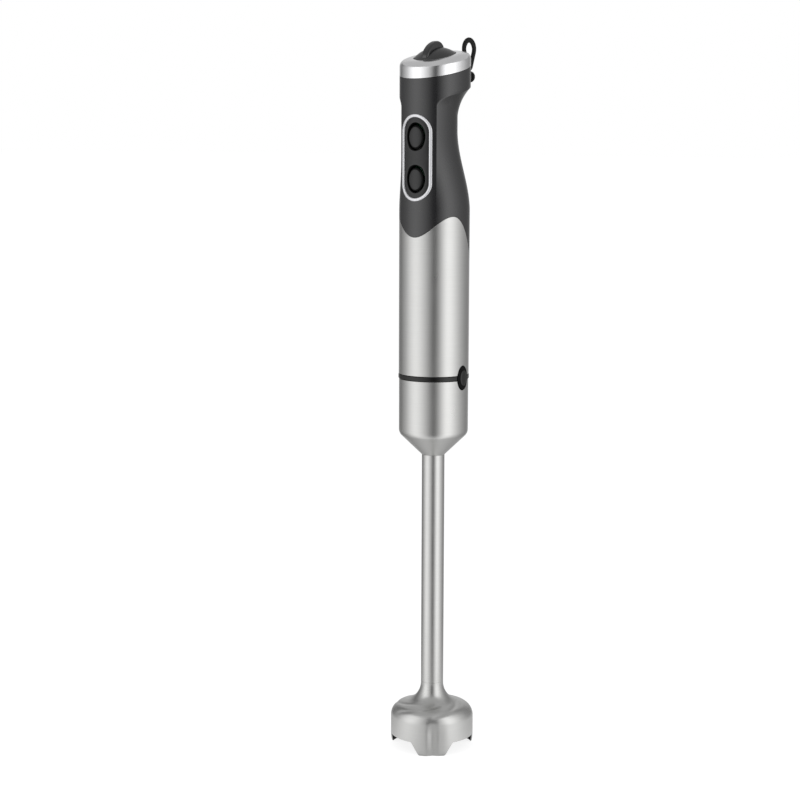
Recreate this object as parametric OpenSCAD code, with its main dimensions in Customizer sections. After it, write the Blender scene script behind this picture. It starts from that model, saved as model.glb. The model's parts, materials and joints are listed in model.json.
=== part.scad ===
// Immersion blender: motor unit, detachable blending leg and bell guard.
// +Z runs up the shaft, z = 0 is the plane under the bell's feet, and the shaft axis is X = Y = 0.
// The push buttons face -Y, the cord gland faces +Y and the release buttons face +X and -X.
// Angles round the body are counted from the front (-Y) towards +X.

/* [Body] */
// Outer diameter of the motor body
body_d = 47.8; // [47:0.2:52]
// Wall of the stainless sleeve
sleeve_wall = 0.8; // [0.5:0.1:1.2]
// Height of the sleeve from the joint ring to its edge at the front
sleeve_front_h = 93.8; // [85:0.1:110]
// How far the sleeve's edge rises from the front to its side peaks
wave_rise = 13.9; // [4:0.1:20]
// How far the sleeve's edge falls from the side peaks to the rear
wave_drop = 55; // [10:1:70]
// Angle of the sleeve's side peaks from the front
wave_peak_a = 66; // [50:1:90]
// Angle over which the edge falls from a peak to the rear tongue
wave_fall_a = 100; // [60:1:110]

/* [Handle] */
// Height from the joint ring to the cap seam, on the body axis
handle_h = 204.6; // [200:0.1:215]
// Height of the full round head between the scoop and the cap seam
head_h = 14.1; // [12:0.1:20]
// Tilt of the cap and the head's lower edge, low at the front
cap_tilt = 14; // [8:1:16]
// Wall of the handle shells
shell_wall = 2; // [1.6:0.1:2.4]
// Half angle of the front strip between the finger scoops
strip_a = 35; // [34:1:40]
// Depth of the finger scoops at the waist
scoop_depth = 9.1; // [5:0.1:9.2]
// Corner radius of the scoop's upper front corner
scoop_corner = 6; // [4:0.5:14]
// Distance over which the scoop reaches its depth below the head
scoop_blend = 30; // [20:0.5:34]
// Distance over which the scoop reaches its depth beside the front strip
scoop_side_blend = 55; // [30:1:60]
// Height of the scoop's lower end above the sleeve's front edge
scoop_low_h = 17; // [15:0.5:25]
// Height over which the scoop runs out at its lower end
scoop_runout = 54; // [40:1:60]

/* [Buttons] */
// Height of the button panel's centre above the joint ring
panel_h = 146.2; // [142:0.1:150]
// Width of the bezel round the button panel
bezel_w = 26; // [24:0.2:28]
// Length of the bezel
bezel_l = 59.2; // [56:0.2:62]
// Width of the bezel's band
bezel_band = 2.9; // [2:0.1:3.5]
// How far the bezel stands proud of the handle
bezel_proud = 0.6; // [0.3:0.1:1]
// Distance between the two button centres
button_pitch = 28; // [24:0.2:30]
// Width of a push button
button_w = 11.6; // [9:0.1:12]
// Height of a push button
button_l = 16.2; // [12:0.1:17]
// Gap round a push button
button_gap = 0.9; // [0.3:0.1:1]
// Travel of a push button
button_travel = 1.5; // [0.8:0.1:1.8]
// Width of a release button
release_w = 11.6; // [9:0.1:13]
// Height of a release button
release_l = 16.4; // [12:0.1:18]
// Travel of a release button
release_travel = 1.8; // [1:0.1:2]

/* [Cap and dial] */
// Height of the chrome cap over its seam
cap_h = 9.7; // [8:0.1:11]
// Height of the cap's nearly straight wall
cap_wall_h = 6.7; // [3:0.1:7]
// Diameter of the speed dial
dial_d = 28; // [24:0.5:30]
// Rise of the dial's dome over its rim
dial_rise = 4.8; // [1:0.1:6]
// Height of the finger grip over the dial's rim
grip_h = 8.7; // [6:0.1:10]
// Thickness of the finger grip
grip_t = 4.6; // [3:0.1:6]

/* [Cord gland and hanging loop] */
// Diameter of the cord gland
gland_d = 7.6; // [7:0.1:8.4]
// Reach of the gland behind the body axis
gland_reach = 43.6; // [42:0.1:50]
// Bore of the gland, for the cord
gland_bore_d = 5.2; // [4:0.1:5.6]
// Height of the cap seam over the gland's axis, both on the body axis
gland_drop = 3.3; // [2.8:0.1:4]
// Radius of the hanging loop's round end, to the middle of its bar
loop_r = 6.3; // [5:0.1:8]
// Thickness of the loop's bar
loop_bar_d = 3; // [2.6:0.1:4]
// Height of the loop's round end over the gland's axis
loop_h = 18.9; // [14:0.1:20]

/* [Blending leg] */
// Height of the joint ring's middle over the floor
joint_z = 261.3; // [250:0.1:300]
// Thickness of the joint ring
ring_t = 3; // [2:0.1:4]
// How far the joint ring stands proud of the body
ring_proud = 0.25; // [0.1:0.05:0.6]
// Diameter of the leg's collar
collar_d = 47.4; // [47:0.2:51]
// Height of the collar's straight wall
collar_h = 35; // [32:0.5:38]
// Height of the collar's cone
cone_h = 17.8; // [15:0.1:22]
// Wall of the leg's steel parts
leg_wall = 0.9; // [0.6:0.1:1.2]
// Diameter of the shaft tube
tube_d = 15.6; // [14:0.2:18]
// Diameter of the bell guard
bell_d = 57.4; // [55:0.2:64]
// Height of the bell's straight side
bell_side_h = 21.5; // [19:0.1:24]
// Radius of the bell's shoulder
shoulder_r = 9; // [6:0.1:10]
// Slope of the bell's top
bell_slope = 18; // [12:1:22]
// Radius of the flare from the tube into the bell's top
flare_r = 14; // [10:0.5:16]
// Height of the gaps between the bell's feet
foot_h = 8.8; // [6:0.1:10]
// Width of a foot's root, as an angle
foot_root_a = 61; // [50:1:70]
// Width of a foot's sole, as an angle
foot_sole_a = 37; // [28:1:44]
// Angle of the first foot from the front
foot_turn = 34; // [0:1:60]

/* [Drive] */
// Diameter of the drive shaft
shaft_d = 5; // [4:0.1:6]
// Radial running clearance of shafts in their bushes
run_gap = 0.05; // [0.02:0.01:0.08]
// Span of the blade, tip to tip
blade_span = 40; // [34:0.5:44]
// Width of the blade at its root
blade_w = 9.5; // [7:0.5:11]
// Thickness of the blade
blade_t = 1.4; // [1:0.1:1.8]
// Angle of the blade's bent tips
blade_bend = 22; // [10:1:30]
// Height of the blade over the floor
blade_z = 13; // [12:0.5:16]

/* [Motor] */
// Outer diameter of the motor's field stack
field_d = 39; // [36:0.2:39.6]
// Length of the field stack
field_l = 38; // [32:1:44]
// Diameter of the armature
armature_d = 23; // [20:0.2:25]
// Diameter of the rotor shaft
rotor_d = 5; // [4:0.1:6]
// Diameter of the cooling fan
fan_d = 36; // [32:0.5:38]

/* [Hidden] */
// Gap between pieces that lie beside each other
gap = 0.2;
// Gap between pieces that move past each other
move_gap = 0.4;
foot_count = 3;
body_r = body_d / 2;
ring_r = body_r + ring_proud;
collar_r = collar_d / 2;
tube_r = tube_d / 2;
bell_r = bell_d / 2;
shaft_r = shaft_d / 2;
rotor_r = rotor_d / 2;
sleeve_in_r = body_r - sleeve_wall;
ring_low_z = joint_z - ring_t / 2;
ring_top_z = joint_z + ring_t / 2;
sleeve_low_z = ring_top_z + gap;
wave_front_z = ring_top_z + sleeve_front_h;
wave_peak_z = wave_front_z + wave_rise;
scoop_low_z = wave_front_z + scoop_low_h;
cap_z = ring_top_z + handle_h;
shelf_z = cap_z - head_h;
panel_z = ring_top_z + panel_h;
high_button_z = panel_z + button_pitch / 2;
low_button_z = panel_z - button_pitch / 2;
gland_z = cap_z - gland_drop;
collar_top_z = ring_low_z - gap * 1.5;
cone_top_z = collar_top_z - collar_h;
tube_top_z = cone_top_z - cone_h;
collar_in_r = collar_r - leg_wall;
tube_in_r = tube_r - leg_wall;
// Where the bell's shoulder arc and flare arc meet its sloping top
shoulder_end = [
    bell_r - shoulder_r + shoulder_r * sin(bell_slope),
    bell_side_h + shoulder_r * cos(bell_slope)
];
flare_end_r = tube_r + flare_r - flare_r * sin(bell_slope);
flare_end_z = shoulder_end.y + (shoulder_end.x - flare_end_r) * tan(bell_slope);
neck_z = flare_end_z + flare_r * cos(bell_slope);
wall_steps = 60;
// Heights up the motor unit: base flange, housing, fan, field stack, commutator and brackets
base_flange_h = 4;
bracket_t = 4;
bracket_seat_h = 5;
coil_h = 7;
coil_room = 8;
commutator_room = 14;
fan_room = 2.5;
housing_low_z = sleeve_low_z + base_flange_h;
lower_bracket_z = housing_low_z + bracket_seat_h;
fan_z = lower_bracket_z + bracket_t + fan_room;
field_low_z = fan_z + coil_h + coil_room;
commutator_z = field_low_z + field_l + coil_h + 2;
upper_bracket_z = commutator_z + commutator_room;
housing_top_z = upper_bracket_z + bracket_t + fan_room;
frame_low_z = housing_top_z + gap / 4;
// Joint: the spigot under the motor, its socket in the collar and the release buttons
collar_socket_r = collar_in_r - gap;
spigot_r = 15;
spigot_wall = 2.4;
socket_floor_t = 4;
socket_floor_z = cone_top_z + 1;
socket_top_z = collar_top_z - 1;
spigot_low_z = socket_floor_z + socket_floor_t + 2;
release_proud = 0.5;
// Radius of the release buttons' backs at rest, and where their edges come to when pressed
release_back_r = body_r - 3.4;
release_in_r = sqrt(pow(release_back_r, 2) - pow(release_w / 2, 2)) - release_travel;
pocket_gap = 1.5;
// Drive line: bushes, seal, hub, nut and the two halves of the coupling
upper_bush_r = 5.5;
lower_bush_l = 18;
lower_bush_z = neck_z - 4;
seal_t = 2.5;
seal_low_z = lower_bush_z - seal_t - gap / 2;
hub_r = 4.5;
nut_h = 3.4;
nut_cap_t = 0.4;
shaft_low_z = blade_z - nut_h + nut_cap_t;
shaft_grip = 4;
drive_socket_r = 9;
drive_socket_h = 16;
drive_socket_z = socket_floor_z + socket_floor_t + 3 * gap;
dog_across = 6;
coupling_r = 5;
rotor_low_z = joint_z - 8;
// Motor housing and what it holds
housing_r = body_r - shell_wall - gap;
housing_wall = 1.6;
housing_in_r = housing_r - housing_wall;
bracket_r = housing_in_r - gap;
bearing_r = 8;
bearing_w = 5;
air_gap = 0.6;
fan_h = 6;
commutator_r = 7.5;
commutator_h = 10;
brush_w = 4;
brush_l = 8;
brush_h = 6;
brush_wall = 1.2;
brush_low_z = commutator_z + 2.5;
// Frame inside the handle's waist, and the board on its front
frame_r = body_r - scoop_depth - shell_wall - gap * 2;
frame_wall = 1.6;
frame_foot_t = 3;
frame_top_z = shelf_z - 6;
screw_r = 1.5;
screw_head_r = 2.6;
screw_head_h = 1.8;
screw_l = 8;
board_y = -(frame_r - 1.2);
board_t = 1.6;
board_w = 14;
board_low_z = low_button_z - 15;
board_top_z = high_button_z + 13;
switch_size = [6, 4.8, 4];
switch_drop = 9.5;
// Buttons: panel, flanges and springs
plate_r = body_r - 0.5;
panel_t = 1.8;
flange_t = 1.4;
button_back_r = plate_r - panel_t - move_gap;
spring_wire = 0.5;
spring_d = 5;
// Cap, dial, spindle and potentiometer
dial_r = dial_d / 2;
dial_skirt = 5;
// How far the dial's axis lies behind the middle of the cap's tilted plane
dial_shift = 1.6;
cap_wall = 1.4;
// How far the cap's tilted wall lies outside the body's radius
cap_lean_room = 0.2;
plate_t = 2.5;
plate_low = 0.3;
spindle_r = 3;
spindle_grip = 3.8;
pot_r = 8;
pot_h = 7;
// Cord gland, clamp and loop
gland_in_y = 18.2;
gland_seat_l = 1.4;
rib_l = 2.2;
rib_gap = 1.4;
rib_rise = 0.7;
clamp_t = 4;
clamp_r = 6;
loop_y = gland_reach - 2.2;
loop_foot_r = 2.3;

$fn = 72;

// ---- Shared shapes ----

// A point at radius r and angle a from the front
function polar(r, a) = [r * sin(a), -r * cos(a)];

// Points along an arc from angle a0 to a1
function arc(c, r, a0, a1, n) = [
    for (i = [0 : n]) let (a = a0 + (a1 - a0) * i / n) c + r * [cos(a), sin(a)]
];

// Angle from the front on either side, 0 to 180
function from_front(a) = abs(a > 180 ? a - 360 : a);

function smooth(t) = let (u = min(1, max(0, t))) u * u * (3 - 2 * u);

// Height at radius r and angle a of a plane that passes z at the axis and has the cap's tilt
function tilted_z(z, a, r = body_r) = z - r * cos(a) * tan(cap_tilt);

module tube(r_out, r_in, h) {
    difference() {
        cylinder(h = h, r = r_out);
        translate([0, 0, -1]) cylinder(h = h + 2, r = r_in);
    }
}

// Puts a shape drawn in the XY plane upright, facing the front, at height z
module facing_front(z) {
    translate([0, 0, z]) rotate([90, 0, 0]) children();
}

// Turns a shape drawn for the front towards angle a
module turned(a) {
    rotate([0, 0, a]) children();
}

// Moves to the cap's frame, whose z = 0 is the cap seam
module in_cap() {
    translate([0, 0, cap_z]) rotate([cap_tilt, 0, 0]) children();
}

// Moves to the dial's axis in the cap's frame
module on_dial_axis() {
    in_cap() translate([0, dial_shift, 0]) children();
}

module oval(w, l) {
    polygon([for (i = [0 : 47]) [w / 2 * cos(i * 7.5), l / 2 * sin(i * 7.5)]]);
}

module stadium(w, l, t) {
    shift = (l - w) / 2;
    for (s = [-1, 1]) translate([0, s * shift, 0]) cylinder(h = t, d = w);
    translate([-w / 2, -shift, 0]) cube([w, 2 * shift, t]);
}

// A curved plate: the part of a pipe wall from r_in to r_out that the children cover
module curved_plate(r_out, r_in, z, l) {
    intersection() {
        translate([0, 0, z - l / 2 - 1]) tube(r_out, r_in, l + 2);
        children();
    }
}

// Two triangles for a four-cornered face
function quad(a, b, c, d) = [[a, b, c], [a, c, d]];

// Faces of a wall made of an outer and an inner grid of cols by rows points
function wall_faces(cols, rows, wrap) = let (
    n = cols * rows,
    last = wrap ? cols - 1 : cols - 2
) [
    for (i = [0 : last]) let (k = (i + 1) % cols) each [
        for (j = [0 : rows - 2]) each concat(
            quad(i * rows + j, i * rows + j + 1, k * rows + j + 1, k * rows + j),
            quad(n + i * rows + j, n + k * rows + j, n + k * rows + j + 1, n + i * rows + j + 1)
        ),
        each quad(i * rows, k * rows, n + k * rows, n + i * rows),
        each quad(
            k * rows + rows - 1, i * rows + rows - 1,
            n + i * rows + rows - 1, n + k * rows + rows - 1
        )
    ],
    if (!wrap) for (j = [0 : rows - 2]) let (e = (cols - 1) * rows) each concat(
        quad(j + 1, j, n + j, n + j + 1),
        quad(e + j, e + j + 1, n + e + j + 1, n + e + j)
    )
];

// Faces that join rings of points, sides points a ring, into a bar
function bar_faces(rings, sides, closed) = concat(
    [
        for (i = [0 : rings - (closed ? 1 : 2)]) for (k = [0 : sides - 1]) let (
            q = i * sides,
            p = (i + 1) % rings * sides,
            t = (k + 1) % sides
        ) each quad(q + k, q + t, p + t, p + k)
    ],
    closed ? [] : [
        [for (k = [sides - 1 : -1 : 0]) k],
        [for (k = [0 : sides - 1]) (rings - 1) * sides + k]
    ]
);

// A coil spring along +Z
module coil_spring(d, wire, l, turns) {
    sides = 6;
    steps = turns * 12;
    points = [
        for (i = [0 : steps]) for (k = [0 : sides - 1]) let (
            a = i * 30,
            b = k * 360 / sides,
            r = (d - wire) / 2 + wire / 2 * cos(b)
        ) [r * cos(a), r * sin(a), wire / 2 + (l - wire) * i / steps + wire / 2 * sin(b)]
    ];
    polyhedron(points, bar_faces(steps + 1, sides, false));
}

// ---- Surfaces of the body ----

// Height of the sleeve's wavy edge at angle a
function wave_z(a) = let (f = from_front(a))
    f < wave_peak_a
        ? wave_front_z + wave_rise * (1 - cos(180 * f / wave_peak_a)) / 2
        : wave_peak_z - wave_drop * (1 - cos(180 * min(1, (f - wave_peak_a) / wave_fall_a))) / 2;

// Distance inside the scoop's outline, from its side edge t and its top edge q
function scoop_in(t, q) = t < scoop_corner && q < scoop_corner
    ? scoop_corner - norm([scoop_corner - t, scoop_corner - q])
    : min(t, q);

// Depth of the finger scoop at angle a and height z
function scoop_at(a, z) = let (
    t = max(0, from_front(a) - strip_a) * PI / 180 * body_r * scoop_blend / scoop_side_blend,
    q = max(0, tilted_z(shelf_z, a) - z),
    d = max(0, scoop_in(t, q)) / scoop_blend
) scoop_depth * (1 - pow(1 - min(1, d), 3)) * smooth((z - scoop_low_z) / scoop_runout);

// Heights of the handle's rows at angle a: wave edge, scoop, head, cap seam
function handle_rows(a, r) = let (shelf = tilted_z(shelf_z, a)) concat(
    [wave_z(a) + gap, scoop_low_z],
    [for (i = [1 : 18]) shelf - (shelf - scoop_low_z) * pow(1 - i / 18, 1.4)],
    [tilted_z(cap_z, a, r) - gap]
);

// A shell of the handle between two angles, with its wall inside its surface
module handle_shell(a0, a1, cols) {
    angles = [for (i = [0 : cols - 1]) a0 + (a1 - a0) * i / (cols - 1)];
    rows = len(handle_rows(0, body_r));
    function skin(inset) = [
        for (a = angles) for (z = handle_rows(a, body_r - inset))
            concat(polar(body_r - scoop_at(a, z) - inset, a), z)
    ];
    polyhedron(concat(skin(0), skin(shell_wall)), wall_faces(cols, rows, false));
}

// ---- Blending leg ----

module bell_profile() {
    wall = leg_wall;
    outer = concat(
        [[tube_r, neck_z + 1]],
        arc([tube_r + flare_r, neck_z], flare_r, 180, 270 - bell_slope, 8),
        arc([bell_r - shoulder_r, bell_side_h], shoulder_r, 90 - bell_slope, 0, 8),
        [[bell_r, 0]]
    );
    inner = concat(
        [[bell_r - wall, 0]],
        arc([bell_r - shoulder_r, bell_side_h], shoulder_r - wall, 0, 90 - bell_slope, 8),
        arc([tube_r + flare_r, neck_z], flare_r + wall, 270 - bell_slope, 180, 8),
        [[tube_in_r, neck_z + 1]]
    );
    polygon(concat(outer, inner));
}

// The gap between two feet, as a wedge that opens downwards
module foot_gap() {
    half_top = bell_r * sin((360 / foot_count - foot_root_a) / 2);
    half_low = bell_r * sin((360 / foot_count - foot_sole_a) / 2);
    corner = 1.2;
    right = [
        [half_low, -gap / 4], [half_top + corner / 2, foot_h - corner], [half_top - corner, foot_h]
    ];
    facing_front(0) linear_extrude(bell_r + 2)
        polygon(concat(right, [for (i = [2 : -1 : 0]) [-right[i].x, right[i].y]]));
}

module bell_guard() {
    color("silver") difference() {
        rotate_extrude() bell_profile();
        for (i = [0 : foot_count - 1]) turned(foot_turn + (i + 0.5) * 360 / foot_count) foot_gap();
    }
}

module shaft_tube() {
    color("silver") translate([0, 0, neck_z + 1])
        tube(tube_r, tube_in_r, tube_top_z - neck_z - 1);
}

module foot_collar() {
    edge_r = 6;
    edge_a = 45;
    function profile(inset) = concat(
        [[tube_r - inset, tube_top_z]],
        arc([collar_r - edge_r, cone_top_z], edge_r - inset, -edge_a, 0, 6),
        [[collar_r - inset, collar_top_z]]
    );
    inside = profile(leg_wall);
    color("silver") difference() {
        rotate_extrude() polygon(concat(
            profile(0), [for (i = [len(inside) - 1 : -1 : 0]) inside[i]]
        ));
        release_cuts(move_gap);
    }
}

// Cuts for the release buttons, wider than the buttons by clear
module release_cuts(clear) {
    for (a = [90, 270]) turned(a) facing_front(joint_z)
        linear_extrude(ring_r + 5) oval(release_w + 2 * clear, release_l + 2 * clear);
}

module collar_socket() {
    depth = socket_top_z - socket_floor_z;
    color([0.12, 0.12, 0.13]) difference() {
        translate([0, 0, socket_floor_z]) cylinder(h = depth, r = collar_socket_r);
        translate([0, 0, socket_floor_z + socket_floor_t]) cylinder(h = depth, r = spigot_r + move_gap);
        translate([0, 0, socket_floor_z - 1])
            cylinder(h = socket_floor_t + 2, r = upper_bush_r + gap / 2);
        release_pockets();
    }
}

module upper_bush() {
    color("goldenrod") translate([0, 0, socket_floor_z])
        tube(upper_bush_r, shaft_r + run_gap, socket_floor_t);
}

module lower_bush() {
    color("goldenrod") translate([0, 0, lower_bush_z])
        tube(tube_in_r - gap / 2, shaft_r + run_gap, lower_bush_l);
}

module shaft_seal() {
    color([0.1, 0.1, 0.1]) translate([0, 0, seal_low_z])
        tube(tube_in_r - gap, shaft_r + run_gap, seal_t);
}

// ---- Drive line in the leg ----

module drive_shaft() {
    color("gainsboro") translate([0, 0, shaft_low_z])
        cylinder(h = drive_socket_z + shaft_grip - shaft_low_z, r = shaft_r);
}

module drive_socket() {
    color("dimgray") translate([0, 0, drive_socket_z]) difference() {
        cylinder(h = drive_socket_h, r = drive_socket_r);
        translate([0, 0, -1]) cylinder(h = shaft_grip + 1, r = shaft_r);
        translate([0, 0, shaft_grip + 1])
            linear_extrude(drive_socket_h) square(dog_across + 2 * move_gap, center = true);
    }
}

module blade_hub() {
    low_z = blade_z + blade_t + gap / 4;
    color("silver") translate([0, 0, low_z]) tube(hub_r, shaft_r, seal_low_z - 2 * gap - low_z);
}

// Half of a blade outline that a half turn completes
function both_ends(half, middle) = concat(half, [for (p = half) 2 * middle - p]);

// A flat bar with one end bent up and the other down
module blade() {
    flat = 10;
    nose = 3;
    half_w = blade_w / 2;
    end = blade_span / 2 - flat;
    tip = [flat + end * cos(blade_bend), end * sin(blade_bend)];
    side = [
        [flat, 0], tip, tip + blade_t * [-sin(blade_bend), cos(blade_bend)],
        [flat - blade_t * tan(blade_bend / 2), blade_t]
    ];
    plan = [
        [tip.x - nose, -half_w], [tip.x, -half_w / 2], [tip.x, half_w / 2],
        [tip.x - nose / 3, half_w]
    ];
    color("gainsboro") difference() {
        intersection() {
            translate([0, blade_w, blade_z]) rotate([90, 0, 0]) linear_extrude(2 * blade_w)
                polygon(both_ends(side, [0, blade_t / 2]));
            linear_extrude(2 * blade_z) polygon(both_ends(plan, [0, 0]));
        }
        cylinder(h = 2 * blade_z, r = shaft_r);
    }
}

module blade_nut() {
    nut_r = 4.4;
    dome_r = 5.2;
    flat_h = nut_h - nut_cap_t * 2;
    color("silver") translate([0, 0, blade_z - gap / 4 - nut_h]) difference() {
        union() {
            translate([0, 0, nut_h - flat_h]) cylinder(h = flat_h, r = nut_r, $fn = 6);
            intersection() {
                cylinder(h = nut_h / 3, r = nut_r - gap);
                translate([0, 0, dome_r - 3 * gap]) sphere(r = dome_r);
            }
        }
        translate([0, 0, nut_cap_t]) cylinder(h = nut_h, r = shaft_r);
    }
}

// ---- Motor unit: joint, sleeve and housing ----

module joint_ring() {
    color([0.08, 0.08, 0.09]) difference() {
        translate([0, 0, ring_low_z]) tube(ring_r, spigot_r + gap, ring_t);
        for (a = [90, 270]) turned(a) translate([0, -release_in_r + move_gap, joint_z])
            rotate([90, 0, 0]) linear_extrude(body_r)
                oval(release_w + 2 * move_gap, release_l + 2 * move_gap);
    }
}

module motor_base() {
    depth = sleeve_low_z - spigot_low_z;
    color([0.12, 0.12, 0.13]) difference() {
        union() {
            translate([0, 0, sleeve_low_z]) cylinder(h = base_flange_h, r = sleeve_in_r - gap / 2);
            translate([0, 0, spigot_low_z]) cylinder(h = depth + 1, r = spigot_r);
        }
        translate([0, 0, spigot_low_z - 1]) cylinder(h = depth - 1, r = spigot_r - spigot_wall);
        translate([0, 0, spigot_low_z]) cylinder(h = depth + base_flange_h + 1, r = coupling_r + 2);
        release_pockets();
    }
}

// Room behind the release buttons, for their travel
module release_pockets() {
    for (a = [90, 270]) turned(a) translate([0, -spigot_r, joint_z]) rotate([90, 0, 0])
        linear_extrude(body_r) oval(release_w + 2 * pocket_gap, release_l + 2 * pocket_gap);
}

module steel_sleeve() {
    angles = [for (i = [0 : wall_steps - 1]) i * 360 / wall_steps];
    function skin(r) = [
        for (a = angles) for (z = [sleeve_low_z, wave_z(a)]) concat(polar(r, a), z)
    ];
    color("silver") difference() {
        polyhedron(concat(skin(body_r), skin(sleeve_in_r)), wall_faces(wall_steps, 2, true));
        release_cuts(move_gap);
    }
}

module motor_housing() {
    color([0.2, 0.2, 0.21]) difference() {
        translate([0, 0, housing_low_z + gap / 4])
            tube(housing_r, housing_in_r, housing_top_z - housing_low_z - gap / 4);
        release_pockets();
    }
}

// ---- Handle ----

module handle_front() {
    color([0.2, 0.19, 0.21]) difference() {
        handle_shell(-strip_a, strip_a, 13);
        facing_front(panel_z) stadium(bezel_w - bezel_band, bezel_l - bezel_band, body_r + 5);
    }
}

module handle_rear() {
    seam_a = 0.3;
    color([0.22, 0.21, 0.23]) difference() {
        handle_shell(strip_a + seam_a, 360 - strip_a - seam_a, 43);
        translate([0, 0, gland_z]) rotate([-90, 0, 0]) cylinder(h = body_r + 5, r = gland_d / 2 + gap);
    }
}

// ---- Buttons ----

module button_bezel() {
    color("white") curved_plate(body_r + bezel_proud, body_r + 0.05, panel_z, bezel_l)
        facing_front(panel_z) difference() {
            stadium(bezel_w, bezel_l, body_r + 5);
            stadium(bezel_w - 2 * bezel_band, bezel_l - 2 * bezel_band, body_r + 5);
        }
}

module button_panel() {
    inner_w = bezel_w - bezel_band - 2 * gap;
    inner_l = bezel_l - bezel_band - 2 * gap;
    color([0.16, 0.15, 0.17]) curved_plate(plate_r, plate_r - panel_t, panel_z, bezel_l)
        facing_front(panel_z) difference() {
            stadium(inner_w, inner_l, body_r + 5);
            for (s = [-1, 1]) translate([0, s * button_pitch / 2, 0])
                linear_extrude(body_r + 5)
                    oval(button_w + 2 * button_gap, button_l + 2 * button_gap);
        }
}

module push_button(z) {
    // The cap, and a wider flange that the panel holds back
    side = 1.5;
    end = 2;
    curved_plate(body_r, button_back_r - flange_t, z, button_l)
        facing_front(z) linear_extrude(body_r + 5) oval(button_w, button_l);
    curved_plate(button_back_r, button_back_r - flange_t, z, button_l + 2 * end)
        facing_front(z) linear_extrude(body_r + 5) oval(button_w + 2 * side, button_l + 2 * end);
}

module high_button() {
    color([0.3, 0.3, 0.33]) push_button(high_button_z);
}

module low_button() {
    color([0.3, 0.3, 0.33]) push_button(low_button_z);
}

// The spring between the board and a push button's back
module button_spring(z) {
    flange_y = button_back_r - flange_t;
    back = sqrt(flange_y * flange_y - spring_d * spring_d / 4);
    free = back - (board_t - board_y) - 2 * gap;
    translate([0, board_y - board_t - gap, z]) rotate([90, 0, 0])
        coil_spring(spring_d, spring_wire, free, 4);
}

module high_spring() {
    color("gainsboro") button_spring(high_button_z);
}

module low_spring() {
    color("gainsboro") button_spring(low_button_z);
}

module release_button(a) {
    // The cap and the raised pad on it
    pad = 0.62;
    turned(a) {
        curved_plate(ring_r + release_proud, release_back_r, joint_z, release_l)
            facing_front(joint_z) linear_extrude(ring_r + 5) oval(release_w, release_l);
        curved_plate(ring_r + 2 * release_proud, ring_r, joint_z, release_l)
            facing_front(joint_z) linear_extrude(ring_r + 5) oval(release_w * pad, release_l * pad);
    }
}

module release_button_right() {
    color([0.1, 0.1, 0.11]) release_button(90);
}

module release_button_left() {
    color([0.1, 0.1, 0.11]) release_button(270);
}

module release_spring(a) {
    back = sqrt(release_back_r * release_back_r - spring_d * spring_d / 4);
    turned(a) translate([0, -spigot_r - gap, joint_z - ring_t / 2 - spring_d / 2 - 2 * gap])
        rotate([90, 0, 0]) coil_spring(spring_d, spring_wire, back - spigot_r - 2 * gap, 3);
}

module release_spring_right() {
    color("gainsboro") release_spring(90);
}

module release_spring_left() {
    color("gainsboro") release_spring(270);
}

// ---- Cap and speed dial ----

// The solid under the cap's surface, inset from its outside: an upright wall with a rounded top
module cap_form(inset) {
    reach = body_r + cap_lean_room - inset;
    corner = [dial_r + gap, cap_wall_h];
    steps = 10;
    intersection() {
        translate([0, 0, cap_z - body_r]) cylinder(h = 2 * body_r, r = body_r - inset);
        in_cap() rotate_extrude() polygon(concat(
            [[0, -inset], [reach, -inset]],
            [
                for (i = [0 : steps]) let (t = i * 90 / steps) [
                    corner.x + (reach - corner.x) * cos(t),
                    corner.y + (cap_h - inset - corner.y) * sin(t)
                ]
            ],
            [[0, cap_h - inset]]
        ));
    }
}

module cap_ring() {
    color("white") difference() {
        cap_form(0);
        cap_form(cap_wall);
        on_dial_axis() cylinder(h = body_r, r = dial_r + move_gap);
    }
}

module cap_plate() {
    color([0.2, 0.2, 0.21]) difference() {
        in_cap() translate([0, 0, plate_low]) cylinder(h = plate_t, r = body_r - cap_wall - 3 * gap);
        on_dial_axis() cylinder(h = plate_t + 1, r = spindle_r + 1);
    }
}

module speed_dial() {
    grip_l = dial_d - 1;
    dome_r = (dial_r * dial_r + dial_rise * dial_rise) / (2 * dial_rise);
    color([0.25, 0.25, 0.27]) on_dial_axis() difference() {
        union() {
            translate([0, 0, cap_h - dial_skirt]) cylinder(h = dial_skirt, r = dial_r);
            intersection() {
                translate([0, 0, cap_h]) cylinder(h = dial_rise + 1, r = dial_r);
                translate([0, 0, cap_h + dial_rise - dome_r]) sphere(r = dome_r, $fn = 96);
            }
            translate([-grip_t / 2, 0, cap_h]) rotate([90, 0, 90]) linear_extrude(grip_t)
                intersection() {
                    oval(grip_l, 2 * grip_h);
                    translate([-grip_l / 2, 0]) square([grip_l, grip_h]);
                }
        }
        translate([0, 0, cap_h - dial_skirt - 1]) cylinder(h = spindle_grip + 1 + gap, r = spindle_r);
    }
}

module dial_spindle() {
    color("gainsboro") on_dial_axis() translate([0, 0, plate_low])
        cylinder(h = cap_h - dial_skirt + spindle_grip - plate_low, r = spindle_r);
}

module speed_pot() {
    color("darkslateblue") on_dial_axis() translate([0, 0, plate_low - gap / 4 - pot_h])
        cylinder(h = pot_h, r = pot_r);
}

// ---- Inside the handle ----

// The four screws that hold the frame's foot on the motor's upper bracket
module screw_places() {
    for (a = [45 : 90 : 315]) turned(a)
        translate([0, -frame_r - screw_head_r - 4 * gap, frame_low_z - 1]) children();
}

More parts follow.
